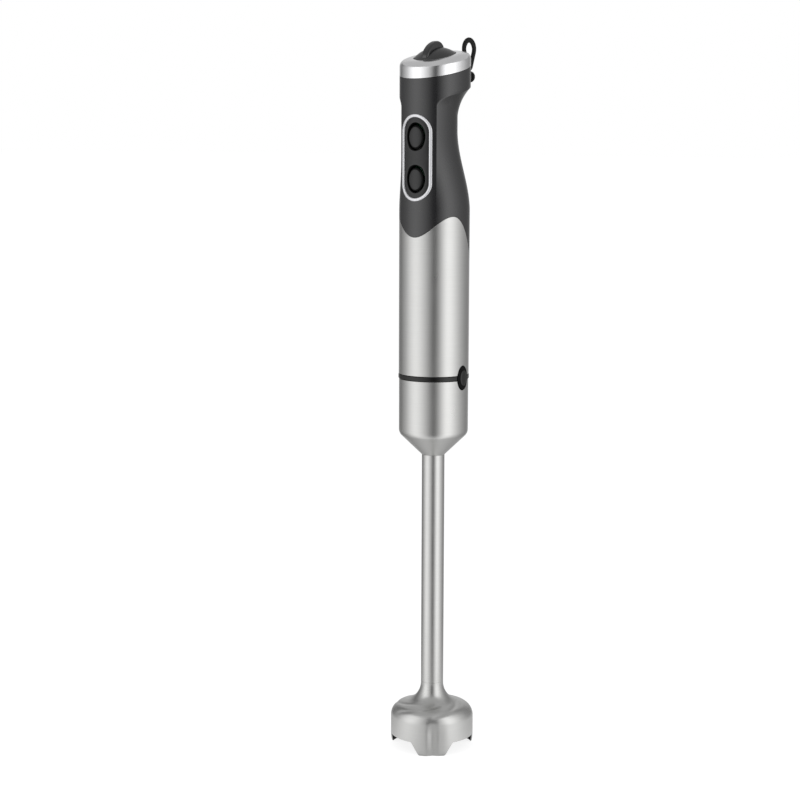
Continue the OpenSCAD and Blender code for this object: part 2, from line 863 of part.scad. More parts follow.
module neck_frame() {
    color([0.2, 0.2, 0.21]) difference() {
        union() {
            translate([0, 0, frame_low_z]) cylinder(h = frame_foot_t, r = housing_in_r);
            translate([0, 0, frame_low_z]) cylinder(h = frame_top_z - frame_low_z, r = frame_r);
        }
        translate([0, 0, frame_low_z - 1])
            cylinder(h = frame_top_z - frame_low_z + 2, r = frame_r - frame_wall);
        // A flat seat for the board
        translate([-body_r, -body_r, board_low_z - 1])
            cube([body_d, body_r + board_y + gap / 4, frame_top_z]);
        screw_places() cylinder(h = frame_foot_t * 2, r = screw_r + gap);
    }
}

module control_board() {
    color("darkgreen") translate([-board_w / 2, board_y - board_t, board_low_z])
        cube([board_w, board_t, board_top_z - board_low_z]);
}

// Two small switches on the board, below the buttons' springs
module switches() {
    color([0.1, 0.1, 0.1]) for (z = [high_button_z, low_button_z])
        translate([-switch_size.x / 2, board_y - board_t - gap / 4 - switch_size.y, z - switch_drop])
            cube(switch_size);
}

module cord_clamp() {
    color([0.2, 0.2, 0.21]) translate([0, gland_in_y - clamp_t - gap, gland_z])
        rotate([-90, 0, 0]) tube(clamp_r, gland_bore_d / 2, clamp_t);
}

// ---- Cord gland and hanging loop ----

module cord_gland() {
    seat_end = body_r + gland_seat_l;
    color([0.08, 0.08, 0.09]) translate([0, 0, gland_z]) rotate([-90, 0, 0]) difference() {
        union() {
            translate([0, 0, gland_in_y])
                cylinder(h = gland_reach - gland_in_y, r = gland_d / 2 - rib_rise);
            translate([0, 0, gland_in_y]) cylinder(h = seat_end - gland_in_y, r = gland_d / 2);
            for (y = [gland_reach - rib_l : -rib_l - rib_gap : seat_end + rib_gap / 2])
                translate([0, 0, y]) cylinder(h = rib_l, r = gland_d / 2);
        }
        translate([0, 0, gland_in_y - 1]) cylinder(h = gland_reach, r = gland_bore_d / 2);
    }
}

// Points and outward directions round the loop's middle line: a round end drawn in to a narrow foot
function loop_line() = let (
    top = [0, gland_z + loop_h],
    foot = [0, gland_z + gland_d / 2 + gap / 2 + loop_bar_d / 2 + loop_foot_r],
    lean = asin((loop_r - loop_foot_r) / (top.y - foot.y))
) concat(
    [for (i = [0 : 20]) let (a = -lean + (180 + 2 * lean) * i / 20) [top, loop_r, a]],
    [for (i = [0 : 8]) let (a = 180 + lean + (180 - 2 * lean) * i / 8) [foot, loop_foot_r, a]]
);

module hanging_loop() {
    sides = 12;
    points = [
        for (p = loop_line()) for (k = [0 : sides - 1]) let (
            b = -k * 360 / sides,
            r = p[1] + loop_bar_d / 2 * cos(b)
        ) [loop_bar_d / 2 * sin(b), loop_y + p[0].x + r * cos(p[2]), p[0].y + r * sin(p[2])]
    ];
    color([0.08, 0.08, 0.09]) polyhedron(points, bar_faces(len(loop_line()), sides, true));
}

// ---- Motor ----

module field_stack() {
    slot = [6, 5];
    color("slategray") translate([0, 0, field_low_z]) difference() {
        tube(field_d / 2, armature_d / 2 + air_gap, field_l);
        for (a = [0, 180]) turned(a) translate([-slot.x / 2, -armature_d / 2 - slot.y, -1])
            cube([slot.x, slot.y, field_l + 2]);
    }
}

module field_coils() {
    color("chocolate") for (z = [field_low_z - coil_h - gap / 4, field_low_z + field_l + gap / 4])
        translate([0, 0, z]) tube(field_d / 2 - 3, armature_d / 2 + 2 * air_gap, coil_h);
}

// A bracket plate with a seat for its bearing and four air holes
module bracket(z) {
    hole_r = 3;
    translate([0, 0, z]) difference() {
        cylinder(h = bracket_t, r = bracket_r);
        translate([0, 0, -1]) cylinder(h = bracket_t + 2, r = bearing_r + gap / 4);
        for (a = [0 : 90 : 270]) turned(a)
            translate([0, -(bearing_r + bracket_r) / 2, -1]) cylinder(h = bracket_t + 2, r = hole_r);
    }
}

module lower_bracket() {
    color([0.25, 0.25, 0.26]) bracket(lower_bracket_z);
}

module upper_bracket() {
    color([0.25, 0.25, 0.26]) difference() {
        bracket(upper_bracket_z);
        screw_places() translate([0, 0, -screw_l]) cylinder(h = screw_l, r = screw_r + gap / 4);
    }
}

module bearing(z) {
    translate([0, 0, z]) tube(bearing_r, rotor_r + run_gap, bearing_w);
}

module lower_bearing() {
    color("silver") bearing(lower_bracket_z - (bearing_w - bracket_t) / 2);
}

module upper_bearing() {
    color("silver") bearing(upper_bracket_z - (bearing_w - bracket_t) / 2);
}

module brush_holders() {
    out_r = bracket_r - 2 * gap;
    length = out_r - commutator_r - brush_wall;
    low_z = brush_low_z - brush_wall;
    color("saddlebrown") for (a = [0, 180]) turned(a)
        translate([-brush_w / 2 - brush_wall, -out_r, low_z]) difference() {
            cube([brush_w + 2 * brush_wall, length, upper_bracket_z - low_z - gap / 4]);
            translate([brush_wall - gap / 2, brush_wall, brush_wall - gap / 2])
                cube([brush_w + gap, length, brush_h + gap]);
        }
}

module carbon_brushes() {
    color([0.2, 0.2, 0.2]) for (a = [0, 180]) turned(a)
        translate([-brush_w / 2, -commutator_r - 2 * gap - brush_l, brush_low_z])
            cube([brush_w, brush_l, brush_h]);
}

module rotor_shaft() {
    color("gainsboro") translate([0, 0, rotor_low_z])
        cylinder(h = upper_bracket_z + bracket_t + 1 - rotor_low_z, r = rotor_r);
}

module armature() {
    color("peru") translate([0, 0, field_low_z]) tube(armature_d / 2, rotor_r, field_l);
}

module commutator() {
    color("darkorange") translate([0, 0, commutator_z]) tube(commutator_r, rotor_r, commutator_h);
}

module cooling_fan() {
    blades = 9;
    disc_t = 1.4;
    blade_thick = 1.2;
    hub = rotor_r + 2.5;
    color([0.85, 0.85, 0.8]) translate([0, 0, fan_z]) difference() {
        union() {
            cylinder(h = disc_t, r = fan_d / 2);
            cylinder(h = fan_h, r = hub);
            for (i = [0 : blades - 1]) rotate([0, 0, i * 360 / blades])
                translate([hub - 1, -blade_thick / 2, 0]) cube([fan_d / 2 - hub, blade_thick, fan_h]);
        }
        translate([0, 0, -1]) cylinder(h = fan_h + 2, r = rotor_r);
    }
}

module motor_coupling() {
    dog_l = 11;
    body_h = 12;
    web = 1;
    color("dimgray") translate([0, 0, rotor_low_z - web]) difference() {
        union() {
            cylinder(h = body_h, r = coupling_r);
            translate([-dog_across / 2, -dog_across / 2, -dog_l])
                cube([dog_across, dog_across, dog_l + web]);
        }
        translate([0, 0, web]) cylinder(h = body_h, r = rotor_r);
    }
}

module housing_screws() {
    slot = [3.2, 0.6];
    color("silver") screw_places() translate([0, 0, frame_foot_t + 1 + gap / 4]) difference() {
        union() {
            cylinder(h = screw_head_h, r = screw_head_r);
            translate([0, 0, -screw_l]) cylinder(h = screw_l + 0.5, r = screw_r);
        }
        for (a = [0, 90]) rotate([0, 0, a])
            translate([-slot.x / 2, -slot.y / 2, screw_head_h / 2]) cube([slot.x, slot.y, screw_head_h]);
    }
}

bell_guard();
shaft_tube();
foot_collar();
collar_socket();
upper_bush();
lower_bush();
shaft_seal();
drive_shaft();
drive_socket();
blade_hub();
blade();
blade_nut();
joint_ring();
motor_base();
steel_sleeve();
motor_housing();
handle_front();
handle_rear();
button_bezel();
button_panel();
high_button();
low_button();
high_spring();
low_spring();
release_button_right();
release_button_left();
release_spring_right();
release_spring_left();
cap_ring();
cap_plate();
speed_dial();
dial_spindle();
speed_pot();
neck_frame();
control_board();
switches();
cord_gland();
hanging_loop();
cord_clamp();
field_stack();
field_coils();
lower_bracket();
upper_bracket();
lower_bearing();
upper_bearing();
brush_holders();
carbon_brushes();
rotor_shaft();
armature();
commutator();
cooling_fan();
motor_coupling();
housing_screws();
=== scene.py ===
"""An immersion blender on a white studio floor: motor unit, blending leg and bell guard."""
import bpy
import bmesh
import json
from math import acos, asin, atan2, cos, degrees, exp, hypot, pi, radians, sin, sqrt, tan
from mathutils import Matrix, Vector


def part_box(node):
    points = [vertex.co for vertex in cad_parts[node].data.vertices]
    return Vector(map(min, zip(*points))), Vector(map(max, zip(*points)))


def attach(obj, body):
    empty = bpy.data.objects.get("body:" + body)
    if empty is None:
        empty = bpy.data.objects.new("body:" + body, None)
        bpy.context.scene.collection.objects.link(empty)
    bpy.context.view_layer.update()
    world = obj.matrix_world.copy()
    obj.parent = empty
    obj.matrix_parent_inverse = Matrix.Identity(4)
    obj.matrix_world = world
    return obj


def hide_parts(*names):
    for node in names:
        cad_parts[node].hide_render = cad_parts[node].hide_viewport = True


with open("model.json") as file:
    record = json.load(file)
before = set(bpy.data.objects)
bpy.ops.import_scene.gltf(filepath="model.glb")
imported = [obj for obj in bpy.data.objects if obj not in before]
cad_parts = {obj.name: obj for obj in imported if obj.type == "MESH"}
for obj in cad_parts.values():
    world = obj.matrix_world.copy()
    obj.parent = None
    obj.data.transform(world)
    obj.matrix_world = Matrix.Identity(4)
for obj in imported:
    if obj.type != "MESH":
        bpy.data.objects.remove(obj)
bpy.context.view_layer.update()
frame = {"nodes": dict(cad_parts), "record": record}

scene = bpy.context.scene
MM = 0.001


def mid(node, axis):
    """Middle of a solid's box along one axis."""
    low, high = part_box(node)
    return (low[axis] + high[axis]) / 2


def on_body(radius, angle, z):
    """A point round the shaft, the angle in degrees from the front towards +X."""
    return Vector((radius * sin(radians(angle)), -radius * cos(radians(angle)), z))


# ---- Sizes, from the solids ----

GAP = 0.2 * MM
TILT = radians(14)
BODY_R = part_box("steel_sleeve")[1].x
RING_LOW, RING_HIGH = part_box("joint_ring")[0].z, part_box("joint_ring")[1].z
JOINT_Z = (RING_LOW + RING_HIGH) / 2
RING_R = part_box("joint_ring")[1].y
SLEEVE_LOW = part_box("steel_sleeve")[0].z
WAVE_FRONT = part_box("handle_front")[0].z - GAP
WAVE_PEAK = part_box("steel_sleeve")[1].z
WAVE_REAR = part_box("handle_rear")[0].z - GAP
CAP_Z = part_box("handle_rear")[1].z + GAP - BODY_R * tan(TILT)
HEAD_H = 14.1 * MM
SHELF_Z = CAP_Z - HEAD_H
SCOOP_START = 17 * MM
SCOOP_LOW = WAVE_FRONT + SCOOP_START
PANEL_RISE = 0.35 * MM
PANEL_Z = mid("button_bezel", 2) + PANEL_RISE
GLAND_Z = mid("cord_gland", 2)
STRIP_ANGLE = 36.5
SEAM_ANGLE = 0.15
RELEASE_W = 10.8 * MM
RELEASE_L = 16.0 * MM
TUBE_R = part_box("shaft_tube")[1].x
COLLAR_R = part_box("foot_collar")[1].x
COLLAR_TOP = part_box("foot_collar")[1].z
TUBE_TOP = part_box("foot_collar")[0].z
BELL_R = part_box("bell_guard")[1].y
DIAL_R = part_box("speed_dial")[1].x
DIAL_SHIFT = 1.6 * MM
CAP_H = 9.7 * MM


# ---- Camera ----

VIEW_ANGLE = 34
CAMERA_DISTANCE = 1.292
CAMERA_HEIGHT = 0.4257
CAMERA_PAN, CAMERA_DIP, CAMERA_ROLL = 1.02, 8.0, 0.16

camera = bpy.data.objects.new("camera", bpy.data.cameras.new("camera"))
scene.collection.objects.link(camera)
scene.camera = camera
camera.data.sensor_width = 36
camera.data.lens = 85.5
camera.location = on_body(CAMERA_DISTANCE, VIEW_ANGLE, CAMERA_HEIGHT)
camera.rotation_mode = "QUATERNION"
camera.rotation_quaternion = (
    Matrix.Rotation(radians(VIEW_ANGLE + CAMERA_PAN), 3, "Z")
    @ Matrix.Rotation(radians(90 - CAMERA_DIP), 3, "X")
    @ Matrix.Rotation(radians(CAMERA_ROLL), 3, "Z")
).to_quaternion()


# ---- Light and floor ----

scene.view_settings.view_transform = "Standard"


def shader_node(tree, kind, operation=None, **values):
    """A node of a material; _0, _1 and so on set its inputs by number."""
    made = tree.nodes.new(kind)
    if operation:
        made.operation = operation
    for at, value in values.items():
        made.inputs[int(at[1:])].default_value = value
    return made


def blank_tree(owner):
    """An empty node tree for a material or a world."""
    owner.use_nodes = True
    owner.node_tree.nodes.clear()
    return owner.node_tree


LAMP_SWING = 54
LAMP_DISTANCE = 0.56
LAMP_Z = 0.55
LAMP_W, LAMP_H = 0.48, 1.5
LAMP_LEVEL = 1.25


def softbox(name, angle):
    """A tall soft lamp that faces the shaft and stays out of the gloss."""
    lamp = bpy.data.lights.new(name, "AREA")
    lamp.shape = "RECTANGLE"
    lamp.size, lamp.size_y = LAMP_W, LAMP_H
    lamp.energy = LAMP_LEVEL * pi * LAMP_W * LAMP_H
    obj = bpy.data.objects.new(name, lamp)
    scene.collection.objects.link(obj)
    obj.location = on_body(LAMP_DISTANCE, angle, LAMP_Z)
    facing = Vector((0, 0, LAMP_Z)) - obj.location
    obj.rotation_mode = "QUATERNION"
    obj.rotation_quaternion = facing.to_track_quat("-Z", "Y")
    obj.visible_camera = False
    obj.visible_glossy = False


softbox("lamp_left", VIEW_ANGLE - LAMP_SWING)
softbox("lamp_right", VIEW_ANGLE + LAMP_SWING)


def staged(name, bm, mat):
    """A surface of the studio, which isn't part of the blender."""
    mesh = bpy.data.meshes.new(name)
    bm.to_mesh(mesh)
    bm.free()
    mesh.materials.append(mat)
    obj = bpy.data.objects.new(name, mesh)
    scene.collection.objects.link(obj)
    return obj


def flat_square(size, height):
    """A level square that reaches the given size out from the shaft."""
    bm = bmesh.new()
    bmesh.ops.create_grid(bm, x_segments=1, y_segments=1, size=size)
    bmesh.ops.translate(bm, vec=(0, 0, height), verts=bm.verts)
    return bm


def gloss_card(name, bm, level):
    """A plain glowing surface that only the gloss sees; gives back its material's node tree."""
    mat = bpy.data.materials.new(name)
    tree = blank_tree(mat)
    out = shader_node(tree, "ShaderNodeOutputMaterial")
    glow = shader_node(tree, "ShaderNodeEmission", _0=(level, level, level, 1))
    tree.links.new(glow.outputs[0], out.inputs["Surface"])
    obj = staged(name, bm, mat)
    for ray in ("camera", "diffuse", "shadow", "transmission", "volume_scatter"):
        setattr(obj, "visible_" + ray, False)
    return tree


gloss_card("card_ceiling", flat_square(6, 1.8), 0.5)

ROOM_R, ROOM_H = 0.56, 0.74
ROOM_HOLE = 0.032
ROOM_FLOOR = 0.5 * MM
ROOM_PEAK = 1.6
FLOOR_LEVEL = 0.8
SHADE_NEAR, SHADE_FAR, SHADE_LEVEL = 0.03, 0.3, 0.3

# Brightness of the room's wall, as (degrees round from the viewing side, level): painted bands of light
# from two wide diffusers.
DIFFUSERS = [(-180, 0.72), (-160, 0.48), (-140, 0.16), (-118, 0.38), (-100, 0.60), (-85, 0.98),
             (-65, 1.34), (-50, 1.24), (-30, 0.82), (-15, 0.45), (-3, 0.10), (4, 0.06), (12, 0.34),
             (26, 0.92), (42, 1.52), (58, 1.38), (77, 0.93), (95, 0.62), (118, 0.38), (140, 0.28),
             (160, 0.50), (180, 0.72)]


def gloss_room():
    """What the gloss sees round the blender: a glowing wall and floor, painted with the light of two
    wide diffusers.
    """
    outline = [(r, ROOM_FLOOR) for r in (ROOM_HOLE, 0.1, 0.25, ROOM_R)] + [(ROOM_R, ROOM_H)]
    tree = gloss_card("gloss_room", spun(outline, steps=72), 1.0)
    place = shader_node(tree, "ShaderNodeTexCoord").outputs["Object"]
    turned = shader_node(tree, "ShaderNodeMapping")
    turned.inputs["Rotation"].default_value = (0, 0, -radians(VIEW_ANGLE))
    parts = shader_node(tree, "ShaderNodeSeparateXYZ")
    front = shader_node(tree, "ShaderNodeMath", "MULTIPLY", _1=-1.0)
    angle = shader_node(tree, "ShaderNodeMath", "ARCTAN2")
    share = shader_node(tree, "ShaderNodeMath", "MULTIPLY_ADD", _1=1 / (2 * pi), _2=0.5)
    ramp = shader_node(tree, "ShaderNodeValToRGB")
    for degree, _ in DIFFUSERS[1:-1]:
        ramp.color_ramp.elements.new(0.5 + degree / 360)
    for element, (degree, level) in zip(ramp.color_ramp.elements, DIFFUSERS):
        element.position = 0.5 + degree / 360
        element.color = [level / ROOM_PEAK] * 3 + [1]
    flat = shader_node(tree, "ShaderNodeVectorMath", "MULTIPLY", _1=(1, 1, 0))
    away = shader_node(tree, "ShaderNodeVectorMath", "LENGTH")
    # On the floor near the shaft, the painted bands of light fade towards an even level.
    much = shader_node(tree, "ShaderNodeMapRange", _1=SHADE_NEAR, _2=SHADE_FAR, _3=SHADE_LEVEL,
                       _4=1.0)
    above = shader_node(tree, "ShaderNodeMath", "MULTIPLY_ADD", _1=ROOM_PEAK, _2=-FLOOR_LEVEL)
    shaded = shader_node(tree, "ShaderNodeMath", "MULTIPLY_ADD", _2=FLOOR_LEVEL)
    glow = tree.nodes["Emission"]
    for start, end in (
        (place, turned.inputs["Vector"]), (turned.outputs[0], parts.inputs[0]),
        (parts.outputs["Y"], front.inputs[0]), (parts.outputs["X"], angle.inputs[0]),
        (front.outputs[0], angle.inputs[1]), (angle.outputs[0], share.inputs[0]),
        (share.outputs[0], ramp.inputs[0]), (ramp.outputs[0], above.inputs[0]),
        (place, flat.inputs[0]), (flat.outputs[0], away.inputs[0]),
        (away.outputs["Value"], much.inputs[0]), (above.outputs[0], shaded.inputs[0]),
        (much.outputs[0], shaded.inputs[1]), (shaded.outputs[0], glow.inputs["Strength"]),
    ):
        tree.links.new(start, end)


def white_for_sight(tree, gloss_level=1.0):
    """1 where the camera looks, a level of its own for the gloss, and 0 for other light."""
    path = shader_node(tree, "ShaderNodeLightPath")
    gloss = shader_node(tree, "ShaderNodeMath", "MULTIPLY", _1=gloss_level)
    seen = shader_node(tree, "ShaderNodeMath", "MAXIMUM")
    through = shader_node(tree, "ShaderNodeMath", "MAXIMUM")
    tree.links.new(path.outputs["Is Glossy Ray"], gloss.inputs[0])
    tree.links.new(path.outputs["Is Camera Ray"], seen.inputs[0])
    tree.links.new(gloss.outputs[0], seen.inputs[1])
    tree.links.new(seen.outputs[0], through.inputs[0])
    tree.links.new(path.outputs["Is Transmission Ray"], through.inputs[1])
    return through.outputs[0]


def studio_world():
    """A white backdrop to the camera, and a softer room to all other light."""
    scene.world = bpy.data.worlds.new("studio")
    tree = blank_tree(scene.world)
    out = shader_node(tree, "ShaderNodeOutputWorld")
    room = shader_node(tree, "ShaderNodeBackground", _0=(0.55, 0.55, 0.56, 1))
    backdrop = shader_node(tree, "ShaderNodeBackground", _0=(1, 1, 1, 1))
    choose = shader_node(tree, "ShaderNodeMixShader")
    tree.links.new(white_for_sight(tree), choose.inputs["Fac"])
    tree.links.new(room.outputs[0], choose.inputs[1])
    tree.links.new(backdrop.outputs[0], choose.inputs[2])
    tree.links.new(choose.outputs[0], out.inputs["Surface"])


def white_floor():
    """A floor that glows almost white and still takes the blender's shadow."""
    mat = bpy.data.materials.new("white_floor")
    tree = blank_tree(mat)
    out = shader_node(tree, "ShaderNodeOutputMaterial")
    paint = shader_node(tree, "ShaderNodeBsdfDiffuse", _0=(0.3, 0.3, 0.3, 1))
    glow = shader_node(tree, "ShaderNodeEmission", _0=(0.85, 0.85, 0.85, 1))
    both = shader_node(tree, "ShaderNodeAddShader")
    tree.links.new(white_for_sight(tree, 0.42), glow.inputs["Strength"])
    tree.links.new(paint.outputs[0], both.inputs[0])
    tree.links.new(glow.outputs[0], both.inputs[1])
    tree.links.new(both.outputs[0], out.inputs["Surface"])
    staged("floor", flat_square(30, 0), mat)


studio_world()
white_floor()


# ---- Finishes ----

class Finish:
    """A material with one principled shader, built up by the functions below."""

    def __init__(self, name, colour, roughness, metallic=0.0, specular=0.5):
        self.mat = bpy.data.materials.new(name)
        self.mat.use_nodes = True
        self.tree = self.mat.node_tree
        self.shader = self.tree.nodes["Principled BSDF"]
        self.colour = colour
        self.roughness = roughness
        self.shader.inputs["Base Color"].default_value = (*colour, 1)
        self.shader.inputs["Roughness"].default_value = roughness
        self.shader.inputs["Metallic"].default_value = metallic
        self.shader.inputs["Specular IOR Level"].default_value = specular
        self.place = self.node("ShaderNodeTexCoord").outputs["Object"]

    def node(self, kind):
        return self.tree.nodes.new(kind)

    def link(self, a, b):
        self.tree.links.new(a, b)

    def stretched(self, scale):
        """The object's coordinates, stretched, in units of 1/scale metres."""
        made = self.node("ShaderNodeMapping")
        made.inputs["Scale"].default_value = scale
        self.link(self.place, made.inputs["Vector"])
        return made.outputs[0]

    def noise(self, scale, detail, rough=0.5):
        """A noise value with so many grains to the metre along each axis."""
        made = self.node("ShaderNodeTexNoise")
        made.inputs["Scale"].default_value = 1.0
        made.inputs["Detail"].default_value = detail
        made.inputs["Roughness"].default_value = rough
        self.link(self.stretched(scale), made.inputs["Vector"])
        return made.outputs["Fac"]

    def spread(self, value, low, high):
        """A noise value, spread between two numbers."""
        made = self.node("ShaderNodeMapRange")
        made.inputs["From Min"].default_value = 0.3
        made.inputs["From Max"].default_value = 0.7
        made.inputs["To Min"].default_value = low
        made.inputs["To Max"].default_value = high
        self.link(value, made.inputs["Value"])
        return made.outputs["Result"]

    def vary_roughness(self, value, amount):
        """Turns the finish a little glossier and duller with a noise value."""
        low, high = self.roughness - amount, self.roughness + amount
        self.link(self.spread(value, low, high), self.shader.inputs["Roughness"])

    def vary_colour(self, value, amount):
        """Turns the colour a little darker and lighter with a noise value."""
        ramp = self.node("ShaderNodeValToRGB")
        ramp.color_ramp.elements[0].position = 0.3
        ramp.color_ramp.elements[1].position = 0.7
        dark = [c * (1 - amount) for c in self.colour]
        light = [min(1, c * (1 + amount)) for c in self.colour]
        ramp.color_ramp.elements[0].color = (*dark, 1)
        ramp.color_ramp.elements[1].color = (*light, 1)
        self.link(value, ramp.inputs["Fac"])
        self.link(ramp.outputs["Color"], self.shader.inputs["Base Color"])

    def bump(self, value, depth, strength):
        """Makes the surface look raised by a noise value."""
        made = self.node("ShaderNodeBump")
        made.inputs["Distance"].default_value = depth
        made.inputs["Strength"].default_value = strength
        self.link(value, made.inputs["Height"])
        self.link(made.outputs["Normal"], self.shader.inputs["Normal"])


def brushed_steel(name, colour, roughness):
    """Stainless steel, brushed round its axis, with faint handling marks."""
    made = Finish(name, colour, roughness, metallic=1.0)
    brushing = made.noise((60, 60, 5200), 3, 0.6)
    smudge = made.noise((45, 45, 30), 3)
    made.vary_roughness(smudge, 0.03)
    made.vary_colour(brushing, 0.035)
    made.bump(brushing, 0.00002, 0.25)
    return made.mat


def turned_metal(name, colour, roughness):
    """Small machined or pressed metal parts."""
    made = Finish(name, colour, roughness, metallic=1.0)
    grain = made.noise((900, 900, 900), 3)
    made.vary_roughness(grain, 0.06)
    made.vary_colour(grain, 0.05)
    made.bump(grain, 0.00002, 0.3)
    return made.mat


def bright_plate(name, colour, roughness, metallic=1.0):
    """Bright plated or silvered trim with a faint ripple in its polish."""
    made = Finish(name, colour, roughness, metallic)
    ripple = made.noise((160, 160, 160), 2)
    made.vary_roughness(ripple, 0.015)
    made.vary_colour(ripple, 0.01)
    made.bump(ripple, 0.00003, 0.1)
    return made.mat


def moulded(name, colour, roughness, specular=0.5, grain=2200, amount=0.08):
    """Moulded plastic or rubber with a fine spark-eroded grain."""
    made = Finish(name, colour, roughness, specular=specular)
    fine = made.noise((grain, grain, grain), 2, 0.6)
    broad = made.noise((50, 50, 35), 3)
    made.vary_roughness(broad, 0.03)
    made.vary_colour(fine, amount)
    made.bump(fine, 0.00003, 0.35)
    return made.mat


def wound_copper(name, colour, roughness):
    """Enamelled wire, wound round the axis."""
    made = Finish(name, colour, roughness, metallic=0.9)
    turns = made.noise((300, 300, 2600), 2)
    made.vary_colour(turns, 0.25)
    made.bump(turns, 0.0002, 0.6)
    made.vary_roughness(turns, 0.05)
    return made.mat


def stacked_iron(name, colour, roughness):
    """Laminations, stacked along the axis."""
    made = Finish(name, colour, roughness, metallic=0.8)
    sheets = made.noise((20, 20, 2400), 1)
    made.vary_colour(sheets, 0.3)
    made.bump(sheets, 0.0001, 0.5)
    made.vary_roughness(sheets, 0.08)
    return made.mat


finishes = {
    "steel": brushed_steel("satin_stainless", (0.60, 0.60, 0.59), 0.30),
    "blade_steel": turned_metal("polished_stainless", (0.70, 0.70, 0.70), 0.25),
    "bright_trim": bright_plate("bright_cap_plate", (0.86, 0.86, 0.87), 0.19),
    "soft_grip": moulded("soft_charcoal_grip", (0.003, 0.0029, 0.0042), 0.27, 1.0),
    "gloss_black": moulded("button_black", (0.003, 0.003, 0.0036), 0.36, 0.6),
    "dial_plastic": moulded("dial_charcoal", (0.003, 0.003, 0.0036), 0.26, 1.0),
    "black_rubber": moulded("loop_rubber", (0.002, 0.002, 0.002), 0.45, 0.3, 1500),
    "inner_plastic": moulded("inner_black", (0.020, 0.020, 0.021), 0.5),
    "bronze": turned_metal("sintered_bronze", (0.45, 0.29, 0.13), 0.45),
    "spring_steel": turned_metal("spring_wire", (0.6, 0.6, 0.6), 0.25),
    "board": moulded("board_green", (0.01, 0.10, 0.04), 0.35),
    "electric_plastic": moulded("component_black", (0.015, 0.015, 0.018), 0.35),
    "fan_plastic": moulded("fan_white", (0.70, 0.70, 0.66), 0.45, amount=0.03),
    "core_iron": stacked_iron("laminated_core", (0.16, 0.16, 0.17), 0.45),
    "copper": wound_copper("winding_copper", (0.55, 0.22, 0.08), 0.35),
    "bracket_alloy": turned_metal("cast_alloy", (0.45, 0.45, 0.46), 0.5),
    "bearing_steel": turned_metal("ground_steel", (0.65, 0.65, 0.65), 0.2),
    "brush_plastic": moulded("brush_brown", (0.10, 0.04, 0.02), 0.45),
    "carbon": moulded("pressed_carbon", (0.012, 0.012, 0.012), 0.6),
}
SILVERED = bright_plate("silvered_bezel", (0.77, 0.77, 0.79), 0.34, 0.4)
JOINT_BLACK = moulded("joint_black", (0.0015, 0.0015, 0.0015), 0.26, 0.5)
# Matt black: the bell's inner face, and painted shade in the button wells and on the button caps'
# flanks.
BLACK_INSIDE_PAINTED_SHADE = moulded("black_inside_and_painted_shade", (0.004, 0.004, 0.004), 0.6, 0.1)
slot_of = {part["node"]: part["material_slot"] for part in frame["record"]["subparts"]}
for node, obj in frame["nodes"].items():
    obj.data.materials.clear()
    obj.data.materials.append(finishes[slot_of[node]])


# ---- Making pieces ----

def angle_of(co):
    """Degrees round the body, from the front towards +X."""
    return degrees(atan2(co.x, -co.y))


def spun(profile, steps=144, start=0.0, sweep=360.0, closed=False):
    """A profile of (radius, height) points, spun round the upright axis."""
    bm = bmesh.new()
    verts = [bm.verts.new(on_body(r, start, z)) for r, z in profile]
    edges = [bm.edges.new(pair) for pair in zip(verts, verts[1:])]
    if closed:
        edges.append(bm.edges.new((verts[-1], verts[0])))
    full = abs(sweep - 360) < 0.001
    bmesh.ops.spin(bm, geom=verts + edges, cent=(0, 0, 0), axis=(0, 0, 1),
                   angle=radians(sweep), steps=steps, use_merge=full, use_duplicate=False)
    bmesh.ops.remove_doubles(bm, verts=bm.verts, dist=1e-7)
    bmesh.ops.recalc_face_normals(bm, faces=bm.faces)
    return bm


def bevelled(bm, edges, width, segments):
    """Rounds the given edges of a bmesh."""
    bmesh.ops.bevel(bm, geom=edges, offset=width, offset_type="OFFSET", segments=segments,
                    profile=0.5, affect="EDGES", material=-1, clamp_overlap=True)


def piece(name, bm, body, slot, replaces=(), sharp=40, finish=None):
    """Makes a finished piece of a bmesh and puts it on its body."""
    mesh = bpy.data.meshes.new(name)
    bm.to_mesh(mesh)
    bm.free()
    mesh.polygons.foreach_set("use_smooth", [True] * len(mesh.polygons))
    mesh.set_sharp_from_angle(angle=radians(sharp))
    mesh.materials.append(finish or finishes[slot])
    obj = bpy.data.objects.new(name, mesh)
    scene.collection.objects.link(obj)
    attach(obj, body)
    if replaces:
        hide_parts(*replaces)
    return obj


def walled(obj, thickness, edge, segments):
    """Gives a surface its wall, inwards, and rounds the wall's rim."""
    wall = obj.modifiers.new("wall", "SOLIDIFY")
    wall.thickness = thickness
    wall.offset = -1
    rim = obj.modifiers.new("rim", "BEVEL")
    rim.width = edge
    rim.segments = segments
    rim.limit_method = "ANGLE"
    rim.angle_limit = radians(50)
    rim.harden_normals = True
    return obj


def corner(points, at, radius, steps=5):
    """Replaces one corner of a profile by an arc."""
    a, b, c = (Vector(points[at + k]) for k in (-1, 0, 1))
    u, v = (a - b).normalized(), (c - b).normalized()
    half = acos(max(-1, min(1, u.dot(v)))) / 2
    centre = b + (u + v).normalized() * (radius / sin(half))
    start, end = b + u * (radius / tan(half)), b + v * (radius / tan(half))
    a0 = atan2(*(start - centre).yx)
    turn = (atan2(*(end - centre).yx) - a0 + pi) % (2 * pi) - pi
    arc = [centre + radius * Vector((cos(a0 + turn * i / steps), sin(a0 + turn * i / steps)))
           for i in range(steps + 1)]
    return points[:at] + [tuple(p) for p in arc] + points[at + 1:]


def rounded(points, radii):
    """A profile with its corners rounded; radii maps a point's index to a radius."""
    for at in sorted(radii, reverse=True):
        points = corner(points, at, radii[at])
    return points


def even(points, spacing):
    """The same profile with points no further apart than the spacing."""
    made = [points[0]]
    for a, b in zip(points, points[1:]):
        n = max(1, int(hypot(b[0] - a[0], b[1] - a[1]) / spacing + 0.999))
        made += [(a[0] + (b[0] - a[0]) * i / n, a[1] + (b[1] - a[1]) * i / n)
                 for i in range(1, n + 1)]
    return made


